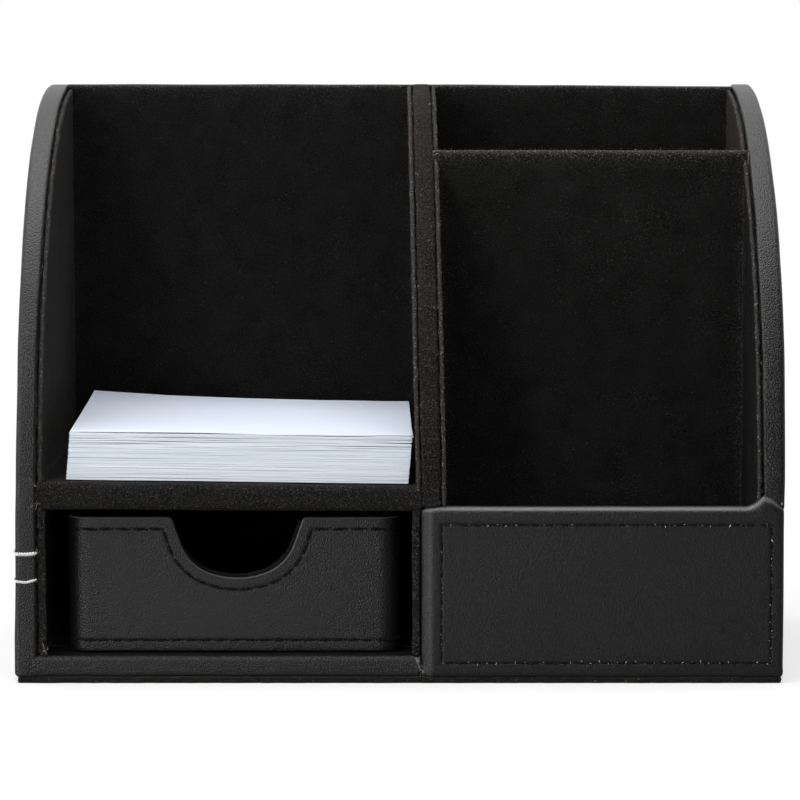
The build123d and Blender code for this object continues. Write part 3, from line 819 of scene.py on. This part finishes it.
def paper():
    finish = Finish("paper")
    fibre = finish.cloud(0.5, 3.0)
    layers = finish.cloud(1.0, 2.0, finish.stretched(45.0, 45.0, 0.2))
    share = finish.ramp(fibre * 0.3 + layers * 0.7, 0.3, 0.7)
    upright = finish.node("ShaderNodeNewGeometry", out="True Normal")
    painted_shade_top = finish.node("ShaderNodeSeparateXYZ", None, {0: upright}, out="Z") > 0.7
    # The cut sides are painted lighter and the top darker than the paper is: painted light on the sides and
    # painted shade on the top.
    painted_light_sides = finish.between(share, (0.85, 0.92, 1.0), (0.91, 0.96, 1.0))
    colour = finish.between(painted_shade_top, painted_light_sides, (0.645, 0.695, 0.79))
    return finish.surface(Base_Color=colour, Roughness=0.75, Specular_IOR_Level=0.3,
                          Normal=finish.relief(fibre, 0.01))


class Rule(Nodes):
    """A geometry tree, with named inputs, that repeats a thing or runs it along a line."""

    def __init__(self, name, inputs):
        super().__init__(bpy.data.node_groups.new(name, "GeometryNodeTree"))
        for way in ("OUTPUT", "INPUT"):
            self.tree.interface.new_socket("Geometry", in_out=way, socket_type="NodeSocketGeometry")
        self.identifiers = {}
        for title, kind in inputs.items():
            made = self.tree.interface.new_socket(title, in_out="INPUT", socket_type="NodeSocket" + kind)
            self.identifiers[title] = made.identifier
        entry = self.node("NodeGroupInput").socket.node
        self.given = {socket.name: Value(self, socket) for socket in entry.outputs if socket.name}

    def vector(self, **parts):
        return self.node("ShaderNodeCombineXYZ", None, parts)

    def scaled(self, vector, factor):
        return self.node("ShaderNodeVectorMath", {"operation": "SCALE"}, {0: vector, "Scale": factor})

    def scattered(self, low, high, seed):
        """A random vector between two others, a new one for each point."""
        sockets = {0: low, 1: high, "Seed": seed}
        return self.node("FunctionNodeRandomValue", {"data_type": "FLOAT_VECTOR"}, sockets)

    def varied(self, low, high, seed):
        """A random number between two others, a new one for each point."""
        sockets = {2: low, 3: high, "Seed": seed}
        return self.node("FunctionNodeRandomValue", {"data_type": "FLOAT"}, sockets, out=1)

    def end(self, instances, finish):
        """Realizes what the rule laid out and gives it its material."""
        real = self.node("GeometryNodeRealizeInstances", None, {0: instances})
        done = self.node("GeometryNodeSetMaterial", None, {"Geometry": real, "Material": finish})
        self.node("NodeGroupOutput", None, {0: done})
        return self

    def grow(self, name, points, faces=(), **values):
        """Runs the rule on a small mesh, or on a line where it has no faces, given in millimetres,
        and keeps what it makes as plain mesh."""
        edges = [] if len(faces) else [(n, n + 1) for n in range(len(points) - 1)]
        mesh = bpy.data.meshes.new(name)
        mesh.from_pydata((np.array(points) * MM).tolist(), edges, faces)
        made = bpy.data.objects.new(name, mesh)
        bpy.context.scene.collection.objects.link(made)
        modifier = made.modifiers.new("rule", "NODES")
        modifier.node_group = self.tree
        for title, value in values.items():
            modifier[self.identifiers[title]] = value
        evaluated = made.evaluated_get(bpy.context.evaluated_depsgraph_get())
        made.data = bpy.data.meshes.new_from_object(evaluated)
        made.data.name = name
        made.modifiers.clear()
        made.data.polygons.foreach_set("use_smooth", [True] * len(made.data.polygons))
        made.data.set_sharp_from_angle(angle=math.radians(40))
        return made


def sheet_stack():
    """Lays sheets on one another, each a little askew, with waves that bundles of them share."""
    rule = Rule("sheet_stack", {"Sheets": "Int", "Pitch": "Float", "Askew": "Float", "Turn": "Float",
                                "Ripple": "Float", "Loose": "Float", "Seed": "Int"})
    given = rule.given
    line = rule.node("GeometryNodeMeshLine", None,
                     {"Count": given["Sheets"], "Offset": rule.vector(Z=given["Pitch"])})
    askew = rule.scaled((1, 1, 0), given["Askew"])
    slip = rule.scattered(rule.scaled(askew, -1.0), askew, given["Seed"])
    moved = rule.node("GeometryNodeSetPosition", None, {"Geometry": line, "Offset": slip})
    twist = rule.varied(given["Turn"] * -1, given["Turn"], given["Seed"] + 5)
    laid = rule.node("GeometryNodeInstanceOnPoints", None,
                     {"Points": moved, "Instance": given["Geometry"], "Rotation": rule.vector(Z=twist)})
    index = rule.node("GeometryNodeInputIndex")
    numbered = rule.node("GeometryNodeCaptureAttribute", {"domain": "INSTANCE"}, {0: laid})
    numbered.socket.node.capture_items.new("FLOAT", "number")
    rule.tree.links.new(index.socket, numbered.socket.node.inputs[1])
    real = rule.node("GeometryNodeRealizeInstances", None, {0: numbered})
    place = rule.node("GeometryNodeInputPosition")
    number = numbered.other("number")
    bundle = number.maths("FLOOR", number * 0.4)
    wave = rule.node("ShaderNodeTexNoise", {"noise_dimensions": "4D"},
                     {"Vector": place, "W": bundle * 1.7, "Scale": 24.0, "Detail": 1.0})
    opening = rule.node("ShaderNodeMapRange", None,
                        {"Value": number, "From Min": given["Sheets"] * 0.72,
                         "From Max": given["Sheets"] * 0.88, "To Min": 1.0, "To Max": given["Loose"]})
    closing = rule.node("ShaderNodeMapRange", None,
                        {"Value": number, "From Min": given["Sheets"] * 0.90, "From Max": given["Sheets"],
                         "To Min": given["Loose"], "To Max": 0.5})
    top = opening.maths("MINIMUM", opening, closing)
    lift = rule.vector(Z=(wave - 0.5) * given["Ripple"] * top)
    rippled = rule.node("GeometryNodeSetPosition", None, {"Geometry": real, "Offset": lift})
    return rule.end(rippled, paper())


def one_sheet(thick, curl, lift):
    """One square sheet as a thin closed slab about the paper's middle, lifted at its rear left."""
    steps = 14
    half = (paper_x[1] - paper_x[0]) / 2
    line = np.linspace(-half, half, steps + 1)
    grid = np.array([(x * TRIMMED, y) for y in line for x in line])
    leftward, rearward = 0.5 - grid[:, 0] / half / 2, 0.5 + grid[:, 1] / half / 2
    bow = curl * leftward ** 3 * rearward + lift * rearward ** 2
    low = np.column_stack([grid, bow])
    high = np.column_stack([grid, bow + thick])
    side = steps + 1
    count = side * side
    faces = []
    for row in range(steps):
        for column in range(steps):
            a = row * side + column
            faces.append((a, a + side, a + side + 1, a + 1))
            faces.append((a + count, a + count + 1, a + count + side + 1, a + count + side))
    rim = [*range(side), *[row * side + steps for row in range(1, side)],
           *[steps * side + column for column in range(steps - 1, -1, -1)],
           *[row * side for row in range(steps - 1, 0, -1)]]
    for a, b in zip(rim, rim[1:] + rim[:1]):
        faces.append((a, b, b + count, a + count))
    return np.vstack([low, high]), faces


stack = sheet_stack()
PAPER = 0.10  # one sheet's thickness
TRIMMED = 0.991  # the sheets are cut this much narrower than they are deep
SHEAR = 1.0  # the block leans this far to the right over its height
PAD_TURN = math.radians(0.45)  # and it lies turned by this much
paper_middle = ((paper_x[0] + paper_x[1]) / 2, (paper_y[0] + paper_y[1]) / 2)
loose_top = loose_z[1] - 0.35
for name, node, low, high, count, askew, turn, ripple, loose, curl, lift in (
        ("memo_pad", "memo_block", *block_z, 92, 0.12, 0.0012, 0.34, 4.2, 0.0, 0.0),
        ("loose_sheets", "memo_loose_sheets", loose_z[0], loose_top, 6, 0.25, 0.004, 0.8, 1.0, 1.9, 0.2)):
    points, faces = one_sheet(PAPER, curl, lift)
    pitch = (high - low - PAPER) / (count - 1)
    made = stack.grow(name, points, faces, Sheets=count, Pitch=pitch * MM, Askew=askew * MM, Turn=turn,
                      Ripple=ripple * MM, Loose=loose, Seed=3)
    for vertex in made.data.vertices:
        x, y, z = vertex.co
        x += SHEAR * ((z / MM + low - block_z[0]) / (block_z[1] - block_z[0]) - 0.35) * MM
        vertex.co = (paper_middle[0] * MM + x * math.cos(PAD_TURN) - y * math.sin(PAD_TURN),
                     paper_middle[1] * MM + x * math.sin(PAD_TURN) + y * math.cos(PAD_TURN),
                     z + low * MM - SHELF_FALL * x)
    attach(made, "memo_paper")
    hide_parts(node)


# ---- seams ----
# Black thread runs round the panel, along the drawer's rim, round its notch and along its lower
# edge. Two rows of white thread run along each outer side, and on the left one their ends are
# drawn over the front edge.
def thread(name, dark, light, roughness):
    finish = Finish(name)
    ply = finish.cloud(0.3, 2.0)
    colour = finish.between(ply, dark, light)
    return finish.surface(Base_Color=colour, Roughness=roughness, Specular_IOR_Level=0.2,
                          Normal=finish.relief(ply, 0.05))


def stitch_row(finish, name):
    """Sews stitches of twisted thread along a line, with a needle hole between each two."""
    rule = Rule(name, {"Pitch": "Float", "Stitch": "Float", "Thread": "Float", "Rise": "Float",
                       "Hole": "Float", "Face": "Vector", "Seed": "Int"})
    given = rule.given
    seam = rule.node("GeometryNodeMeshToCurve", None, {0: given["Geometry"]})
    spots = rule.node("GeometryNodeCurveToPoints", {"mode": "LENGTH"},
                      {"Curve": seam, "Length": given["Pitch"]})
    along = rule.node("FunctionNodeAlignRotationToVector", {"axis": "X"},
                      {"Vector": spots.other("Tangent")})
    upright = rule.node("FunctionNodeAlignRotationToVector", {"axis": "Z", "pivot_axis": "X"},
                        {"Rotation": along, "Vector": given["Face"]})
    half = given["Stitch"] * 0.5
    start = rule.vector(X=half * -1, Z=given["Rise"] * -1.6)
    middle = rule.vector(Z=given["Rise"] * 2.2)
    end = rule.vector(X=half, Z=given["Rise"] * -1.6)
    bow = rule.node("GeometryNodeCurveQuadraticBezier", None,
                    {"Resolution": 7, "Start": start, "Middle": middle, "End": end})
    factor = rule.node("GeometryNodeSplineParameter", out="Factor")
    twisted = rule.node("GeometryNodeSetCurveTilt", None, {"Curve": bow, "Tilt": factor * 5.0})
    profile = rule.node("GeometryNodeCurveStar", None,
                        {"Points": 3, "Inner Radius": given["Thread"] * 0.42,
                         "Outer Radius": given["Thread"] * 0.55})
    strand = rule.node("GeometryNodeCurveToMesh", None,
                       {"Curve": twisted, "Profile Curve": profile, "Fill Caps": True})
    askew = rule.scattered((-0.03, -0.05, -0.09), (0.03, 0.05, 0.09), given["Seed"])
    euler = rule.node("FunctionNodeEulerToRotation", None, {0: askew})
    laid = rule.node("FunctionNodeRotateRotation", {"rotation_space": "LOCAL"},
                     {"Rotation": upright, "Rotate By": euler})
    hole = rule.node("GeometryNodeMeshUVSphere", None,
                     {"Segments": 8, "Rings": 4, "Radius": given["Hole"]}, out="Mesh")
    beyond = rule.vector(X=given["Pitch"] * 0.5, Z=given["Rise"] * -0.5)
    needle_hole = rule.node("GeometryNodeTransform", None,
                            {"Geometry": hole, "Translation": beyond, "Scale": (1.15, 0.8, 0.5)})
    both = rule.node("GeometryNodeJoinGeometry", None, {0: [strand, needle_hole]})
    row = rule.node("GeometryNodeInstanceOnPoints", None,
                    {"Points": spots.other("Points"), "Instance": both, "Rotation": laid})
    return rule.end(row, finish)


def seam_points(line, pitch):
    """The part of a line that whole stitches fill, from the first one's middle to the last's."""
    line = np.array(line, float)
    lengths = np.concatenate([[0], np.cumsum(np.linalg.norm(np.diff(line, axis=0), axis=1))])
    count = max(1, round(lengths[-1] / pitch))
    true_pitch = lengths[-1] / count
    places = np.linspace(true_pitch / 2, lengths[-1] - true_pitch / 2, 4 * count)
    return np.column_stack([np.interp(places, lengths, line[:, axis]) for axis in range(3)]), true_pitch


def joined(name, parts):
    """Joins what a rule made along several lines into one piece."""
    made = parts[0]
    if len(parts) > 1:
        with bpy.context.temp_override(active_object=made, selected_editable_objects=parts):
            bpy.ops.object.join()
    made.name = name
    return made


def sew(name, body, lines, rule, sizes, replaced):
    """Sews a seam along each line and joins them into one piece."""
    pitch, stitch, thick, rise, hole, face, seed = sizes
    rows = []
    for number, line in enumerate(lines):
        points, true_pitch = seam_points(line, pitch)
        rows.append(rule.grow(name + str(number), points, Pitch=(true_pitch - 0.0005) * MM,
                              Stitch=stitch * MM, Thread=thick * MM, Rise=rise * MM, Hole=hole * MM,
                              Face=face, Seed=seed + number))
    made = joined(name, rows)
    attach(made, body)
    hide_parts(*replaced)


black_thread = thread("black_thread", (0.0012, 0.0012, 0.0012), (0.006, 0.006, 0.006), 0.8)
white_thread = thread("white_thread", (0.50, 0.50, 0.48), (0.85, 0.85, 0.83), 0.7)
black_rule = stitch_row(black_thread, "black_stitches")
white_rule = stitch_row(white_thread, "white_stitches")
# Pitch, stitch, thread, rise and needle hole in millimetres, and the way that the seam faces
BLACK = (PITCH, 2.6, 0.84, 0.19, 0.40, (0, -1, 0))
FINE = (PITCH, 2.3, 0.60, 0.13, 0.36, (0, -1, 0))
WHITE = (7.5, 5.8, 0.6, 0.16, 0.2)
WHITE_ROWS = (27.0, 34.3)  # heights of the two rows
SEAM_RISE = 0.02  # the stitches' height over the leather
seam_y = panel_y[0] - SEAM_RISE
left, right = (x + SEAM_SHIFT[0] for x in (panel_x[0] + SEAM_INSET, panel_x[1] - SEAM_INSET))
low, high = panel_z[0] + SEAM_INSET + SEAM_SHIFT[1], panel_z[1] - SEAM_TOP
corners = [(left, seam_y, low), (right, seam_y, low), (right, seam_y, high), (left, seam_y, high)]
sew("front_panel_stitches", "case", list(zip(corners, corners[1:] + corners[:1])),
    black_rule, (*FINE, 40), ["front_panel_seam"])

rim_row = walls.front(DRAWER_SEAM)
front_count = len(rim_row)
slopes = np.flatnonzero(rim_row[:, 1] < drawer_z[1] - DRAWER_SEAM - 0.01)
seam_rings = [np.array(walls.ring(drop, -SEAM_RISE))[:, :3] for drop in (DRAWER_SEAM, height - DRAWER_SEAM)]
upper, lower = (np.vstack([ring[-5:], ring[:front_count + 5]]) for ring in seam_rings)
lines = [upper[:slopes[0] + 5], upper[slopes[0] + 5:slopes[-1] + 6], upper[slopes[-1] + 6:], lower]
sew("drawer_stitches", "drawer", lines, black_rule, (*BLACK, 60), ["drawer_seams"])

for side, sign in (("left", -1), ("right", 1)):
    start = side_y[0] + 1.0 if sign < 0 else panel_y[1] + 1.0
    side_face = sign * (HALF_WIDTH - 0.05)
    lines = [[(side_face, start, z), (side_face, side_y[1] - 5.0, z)] for z in WHITE_ROWS]
    sew(side + "_side_stitches", "case", lines, white_rule,
        (*WHITE, (sign, 0, 0), 80), [side + "_side_seams"])


def drawn_thread(finish):
    """Runs one twisted thread along a line."""
    rule = Rule("drawn_thread", {"Thread": "Float", "Twist": "Float"})
    given = rule.given
    line = rule.node("GeometryNodeMeshToCurve", None, {0: given["Geometry"]})
    smooth = rule.node("GeometryNodeResampleCurve", None, {"Curve": line, "Count": 60})
    factor = rule.node("GeometryNodeSplineParameter", out="Factor")
    twisted = rule.node("GeometryNodeSetCurveTilt", None,
                        {"Curve": smooth, "Tilt": factor * given["Twist"]})
    profile = rule.node("GeometryNodeCurveStar", None,
                        {"Points": 4, "Inner Radius": given["Thread"] * 0.3,
                         "Outer Radius": given["Thread"] * 0.55})
    strand = rule.node("GeometryNodeCurveToMesh", None,
                       {"Curve": twisted, "Profile Curve": profile, "Fill Caps": True})
    return rule.end(strand, finish)


drawn_rule = drawn_thread(white_thread)
front_y = side_y[0]
for number, (z, thick, sway) in enumerate(((34.0, 0.95, 0.05), (26.8, 0.66, 0.16))):
    path = [(-100.15, front_y + 6, z + 0.2), (-100.3, front_y + 2.4, z + 0.1),
            (-99.9, front_y + 0.35, z + 0.1), (-99.0, front_y - 0.25, z), (-98.0, front_y - 0.3, z - sway),
            (-97.0, front_y - 0.3, z - sway), (-96.0, front_y - 0.3, z + 0.5 * sway),
            (-95.0, front_y - 0.1, z + 2 * sway), (-94.55, front_y + 0.6, z + 2.4 * sway)]
    made = drawn_rule.grow("drawn_thread" + str(number), path, Thread=thick * MM, Twist=26.0)
    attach(made, "case")


# ---- lint ----
# Loose fibres of the velvet and felt stand out wherever a sheet was cut: along the linings'
# folds beside the leather, on the shelf, the partition and the divider, and under the base.
def lint_rule(finish):
    """Strews short bent hairs round a line."""
    rule = Rule("lint", {"Hairs": "Int", "Length": "Float", "Thick": "Float", "Spread": "Float",
                         "Seed": "Int"})
    given = rule.given
    line = rule.node("GeometryNodeMeshToCurve", None, {0: given["Geometry"]})
    spots = rule.node("GeometryNodeCurveToPoints", {"mode": "COUNT"},
                      {"Curve": line, "Count": given["Hairs"]}, out="Points")
    away = rule.scaled((1, 1, 1), given["Spread"])
    slip = rule.scattered(rule.scaled(away, -1.0), away, given["Seed"])
    strewn = rule.node("GeometryNodeSetPosition", None, {"Geometry": spots, "Offset": slip})
    end = rule.vector(X=given["Length"])
    bend = rule.vector(X=given["Length"] * 0.5, Y=given["Length"] * 0.35)
    bow = rule.node("GeometryNodeCurveQuadraticBezier", None,
                    {"Resolution": 3, "Start": (0, 0, 0), "Middle": bend, "End": end})
    profile = rule.node("GeometryNodeCurvePrimitiveCircle", {"mode": "RADIUS"},
                        {"Resolution": 3, "Radius": given["Thick"] * 0.5})
    hair = rule.node("GeometryNodeCurveToMesh", None,
                     {"Curve": bow, "Profile Curve": profile, "Fill Caps": True})
    turn = rule.scattered((-3.1, -3.1, -3.1), (3.1, 3.1, 3.1), given["Seed"] + 1)
    size = rule.varied(0.3, 1.0, given["Seed"] + 2)
    laid = rule.node("GeometryNodeInstanceOnPoints", None,
                     {"Points": strewn, "Instance": hair, "Rotation": turn, "Scale": size})
    return rule.end(laid, finish)


def fibre(name, dark, light):
    finish = Finish(name)
    colour = finish.between(finish.cloud(1.5, 1.0), dark, light)
    return finish.surface(Base_Color=colour, Roughness=0.8, Specular_IOR_Level=0.2)


def strew(name, lines, rule, hairs_per_mm, length, spread, seed, thick=0.06):
    """Strews hairs along each line, a given number to the millimetre."""
    tufts = []
    for number, line in enumerate(lines):
        line = np.array(line, float)
        run = np.linalg.norm(np.diff(line, axis=0), axis=1).sum()
        tufts.append(rule.grow(name + str(number), line, Hairs=max(1, round(run * hairs_per_mm)),
                               Length=length * MM, Thick=thick * MM, Spread=spread * MM,
                               Seed=seed + 3 * number))
    made = joined(name, tufts)
    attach(made, "case")


def along_curve(x, inset, low, high, leans=False):
    """Points on the sides' curve at x, between two heights."""
    radius = curve_radius - inset
    places = []
    for z in np.linspace(low, high, 50):
        reach = math.sqrt(max(radius ** 2 - max(z - curve_z, 0) ** 2, 0))
        places.append((x, side_y[1] - reach, z, 0))
    places = np.array(places)
    return (leaning(raised(places)) if leans else places)[:, :3]


dark_lint = lint_rule(fibre("dark_fibre", (0.030, 0.027, 0.025), (0.13, 0.12, 0.11)))
pale_lint = lint_rule(fibre("pale_fibre", (0.25, 0.23, 0.20), (0.62, 0.60, 0.56)))
inner_wall = HALF_WIDTH - wall
crown = curve_z + curve_radius - 4
gaps = [along_curve(-inner_wall + 0.25, 0.9, shelf_z[1], crown),
        along_curve(inner_wall - 0.25, 0.9, 50, crown),
        along_curve(-inner_wall + 0.25, 0.9, 8.0, shelf_z[1])]
strew("lining_lint", gaps, dark_lint, 3.2, 1.0, 0.30, 200)
strew("pale_lining_lint", gaps, pale_lint, 0.30, 1.1, 0.35, 220)
ridges = [along_curve(x, DIVIDER_INSET, panel_z[1] + 1, crown, True)
          for x in (divider_x[0] - 0.2, divider_x[0] + 0.6, divider_x[1] - 0.6, divider_x[1] + 0.2)]
strew("divider_lint", ridges, dark_lint, 3.0, 0.8, 0.30, 240)
strew("pale_divider_lint", ridges, pale_lint, 0.16, 0.8, 0.30, 260)
top_edge = [(x, partition_y[0] + 0.6, partition_z[1]) for x in partition_x]
strew("partition_lint", [top_edge], dark_lint, 6.0, 0.8, 0.25, 280)
strew("pale_partition_lint", [top_edge], pale_lint, 0.8, 0.8, 0.25, 290)
shelf_edge = [(x, shelf_y[0] + 0.3, shelf_z[1] - 0.5 - SHELF_FALL * (x + 41)) for x in shelf_x]
strew("shelf_lint", [shelf_edge], dark_lint, 3.0, 0.8, 0.5, 300)
strew("pale_shelf_lint", [shelf_edge], pale_lint, 0.35, 0.6, 0.9, 310)
felt_edge = [(x, felt_y[0], felt_z[1] / 2) for x in felt_x]
felt_sides = [[(x, felt_y[0], felt_z[1] / 2), (x, felt_y[1], felt_z[1] / 2)] for x in felt_x]
strew("felt_lint", [felt_edge, *felt_sides], dark_lint, 3.0, 1.0, 0.45, 330)
torn = [[(-95.2, shelf_y[0] - 0.2, shelf_z[1] + 1.0), (-94.6, shelf_y[0] - 0.3, shelf_z[1] - 0.4)],
        [(-95.6, shelf_y[0] - 0.3, shelf_z[0] + 1.6), (-93.6, shelf_y[0] - 0.4, shelf_z[0] + 1.9)],
        [(-93.2, base_front, base_high + 1.6), (-91.8, base_front, base_high + 1.9)],
        [(panel_x[0] - 0.6, panel_y[0] - 0.1, 7.0), (panel_x[0] - 0.2, panel_y[0] - 0.1, 2.6)],
        [(divider_x[1] + 0.3, partition_y[0] + 0.1, partition_z[1]),
         (divider_x[1] + 0.9, partition_y[0] - 0.1, partition_z[1] - 1.6)]]
strew("torn_fibres", torn, pale_lint, 6.0, 1.7, 0.25, 360)
strew("pale_felt_lint", [felt_edge], pale_lint, 0.25, 0.7, 0.5, 380)
around_panel = np.array(corners + corners[:1]) - (0, 0.12, 0)
strew("seam_lint", [around_panel], pale_lint, 0.42, 0.7, 0.20, 390, 0.19)
wisps = [[(-94.9, front_y - 0.2, 34.0), (-94.3, front_y, 34.4)]]
strew("thread_wisps", wisps, pale_lint, 8.0, 1.3, 0.15, 400)


# ---- studio ----
# A pale floor and soft light show the object as it stood for its picture: a large lamp overhead,
# a small one in front on the left and one far out at the left, with a little light all round.
def lamp(name, size, place, aim, power, colour=(1, 1, 1)):
    light = bpy.data.lights.new(name, "AREA")
    light.shape, light.size, light.size_y = "RECTANGLE", size[0], size[1]
    light.energy, light.color = power, colour
    made = bpy.data.objects.new(name, light)
    made.location = place
    made.rotation_euler = (Vector(aim) - Vector(place)).to_track_quat("-Z", "Y").to_euler()
    bpy.context.scene.collection.objects.link(made)


lamp("overhead_lamp", (1.3, 1.3), (-0.28, -0.02, 1.25), (-0.28, -0.02, 0), 17.0, (0.98, 0.99, 1.0))
lamp("left_front_lamp", (0.18, 0.30), (-0.35, -0.75, 0.22), (0, 0, 0.05), 1.85)
lamp("left_side_lamp", (0.5, 0.8), (-1.40, -0.60, 0.35), (0, 0, 0.08), 9.0, (0.98, 0.99, 1.0))


def rays(nodes):
    """1 for rays from the eye, and 1 for rays that a surface mirrors or lets through."""
    seen = nodes.node("ShaderNodeLightPath", out="Is Camera Ray")
    return seen, seen.other("Is Glossy Ray") + seen.other("Is Transmission Ray")


FILL = 0.68  # light from all round
FRONT_ROOM = 0.03  # what the object mirrors of the dark room in front of it
world = bpy.data.worlds.new("studio")
bpy.context.scene.world = world
world.use_nodes = True
air = Nodes(world.node_tree)
air.tree.nodes.clear()
direction = air.node("ShaderNodeTexCoord", out="Generated")
sight = air.node("ShaderNodeSeparateXYZ", None, {0: direction}, out="Y")
behind = air.node("ShaderNodeMapRange", None, {"Value": sight, "From Min": -0.1, "From Max": 0.5})
seen, mirrored = rays(air)
strength = FILL + (1 - FILL) * seen + mirrored * (behind * (1 - FRONT_ROOM) - (FILL - FRONT_ROOM))
white = air.node("ShaderNodeBackground", None, {"Color": (1, 1, 1, 1), "Strength": strength})
air.node("ShaderNodeOutputWorld", None, {"Surface": white})

floor_mesh = bpy.data.meshes.new("studio_floor")
reach = 30.0
floor_mesh.from_pydata([(-reach, -reach, 0), (reach, -reach, 0), (reach, reach, 0), (-reach, reach, 0)],
                       [], [(0, 1, 2, 3)])
floor_object = bpy.data.objects.new("studio_floor", floor_mesh)
bpy.context.scene.collection.objects.link(floor_object)
paint = Finish("studio_floor")
distance = paint.node("ShaderNodeVectorMath", {"operation": "LENGTH"}, {0: paint.place}, out="Value")
far = paint.ramp(distance, 0.25, 0.8)
glow = paint.node("ShaderNodeEmission", None, {"Color": (1, 1, 1, 1), "Strength": 1.0})
seen, _ = rays(paint)
share = seen * (0.62 + 0.38 * far)
shade = paint.between(seen, (0.22, 0.22, 0.22), (0.80, 0.80, 0.80))
lit = paint.node("ShaderNodeBsdfDiffuse", None, {"Color": shade})
mixed = paint.node("ShaderNodeMixShader", None, {0: share, 1: lit, 2: glow})
floor_mesh.materials.append(paint.ended(mixed))

# The camera stands where the photograph's perspective puts it
camera_data = bpy.data.cameras.new("camera")
camera_data.sensor_width = 36.0
camera_data.lens = 169.2
camera = bpy.data.objects.new("camera", camera_data)
camera.location = (0.0001, -1.0246, 0.1702)
camera.rotation_euler = (math.radians(84.34), 0, 0)
bpy.context.scene.collection.objects.link(camera)
bpy.context.scene.camera = camera
bpy.context.scene.view_settings.view_transform = "Standard"
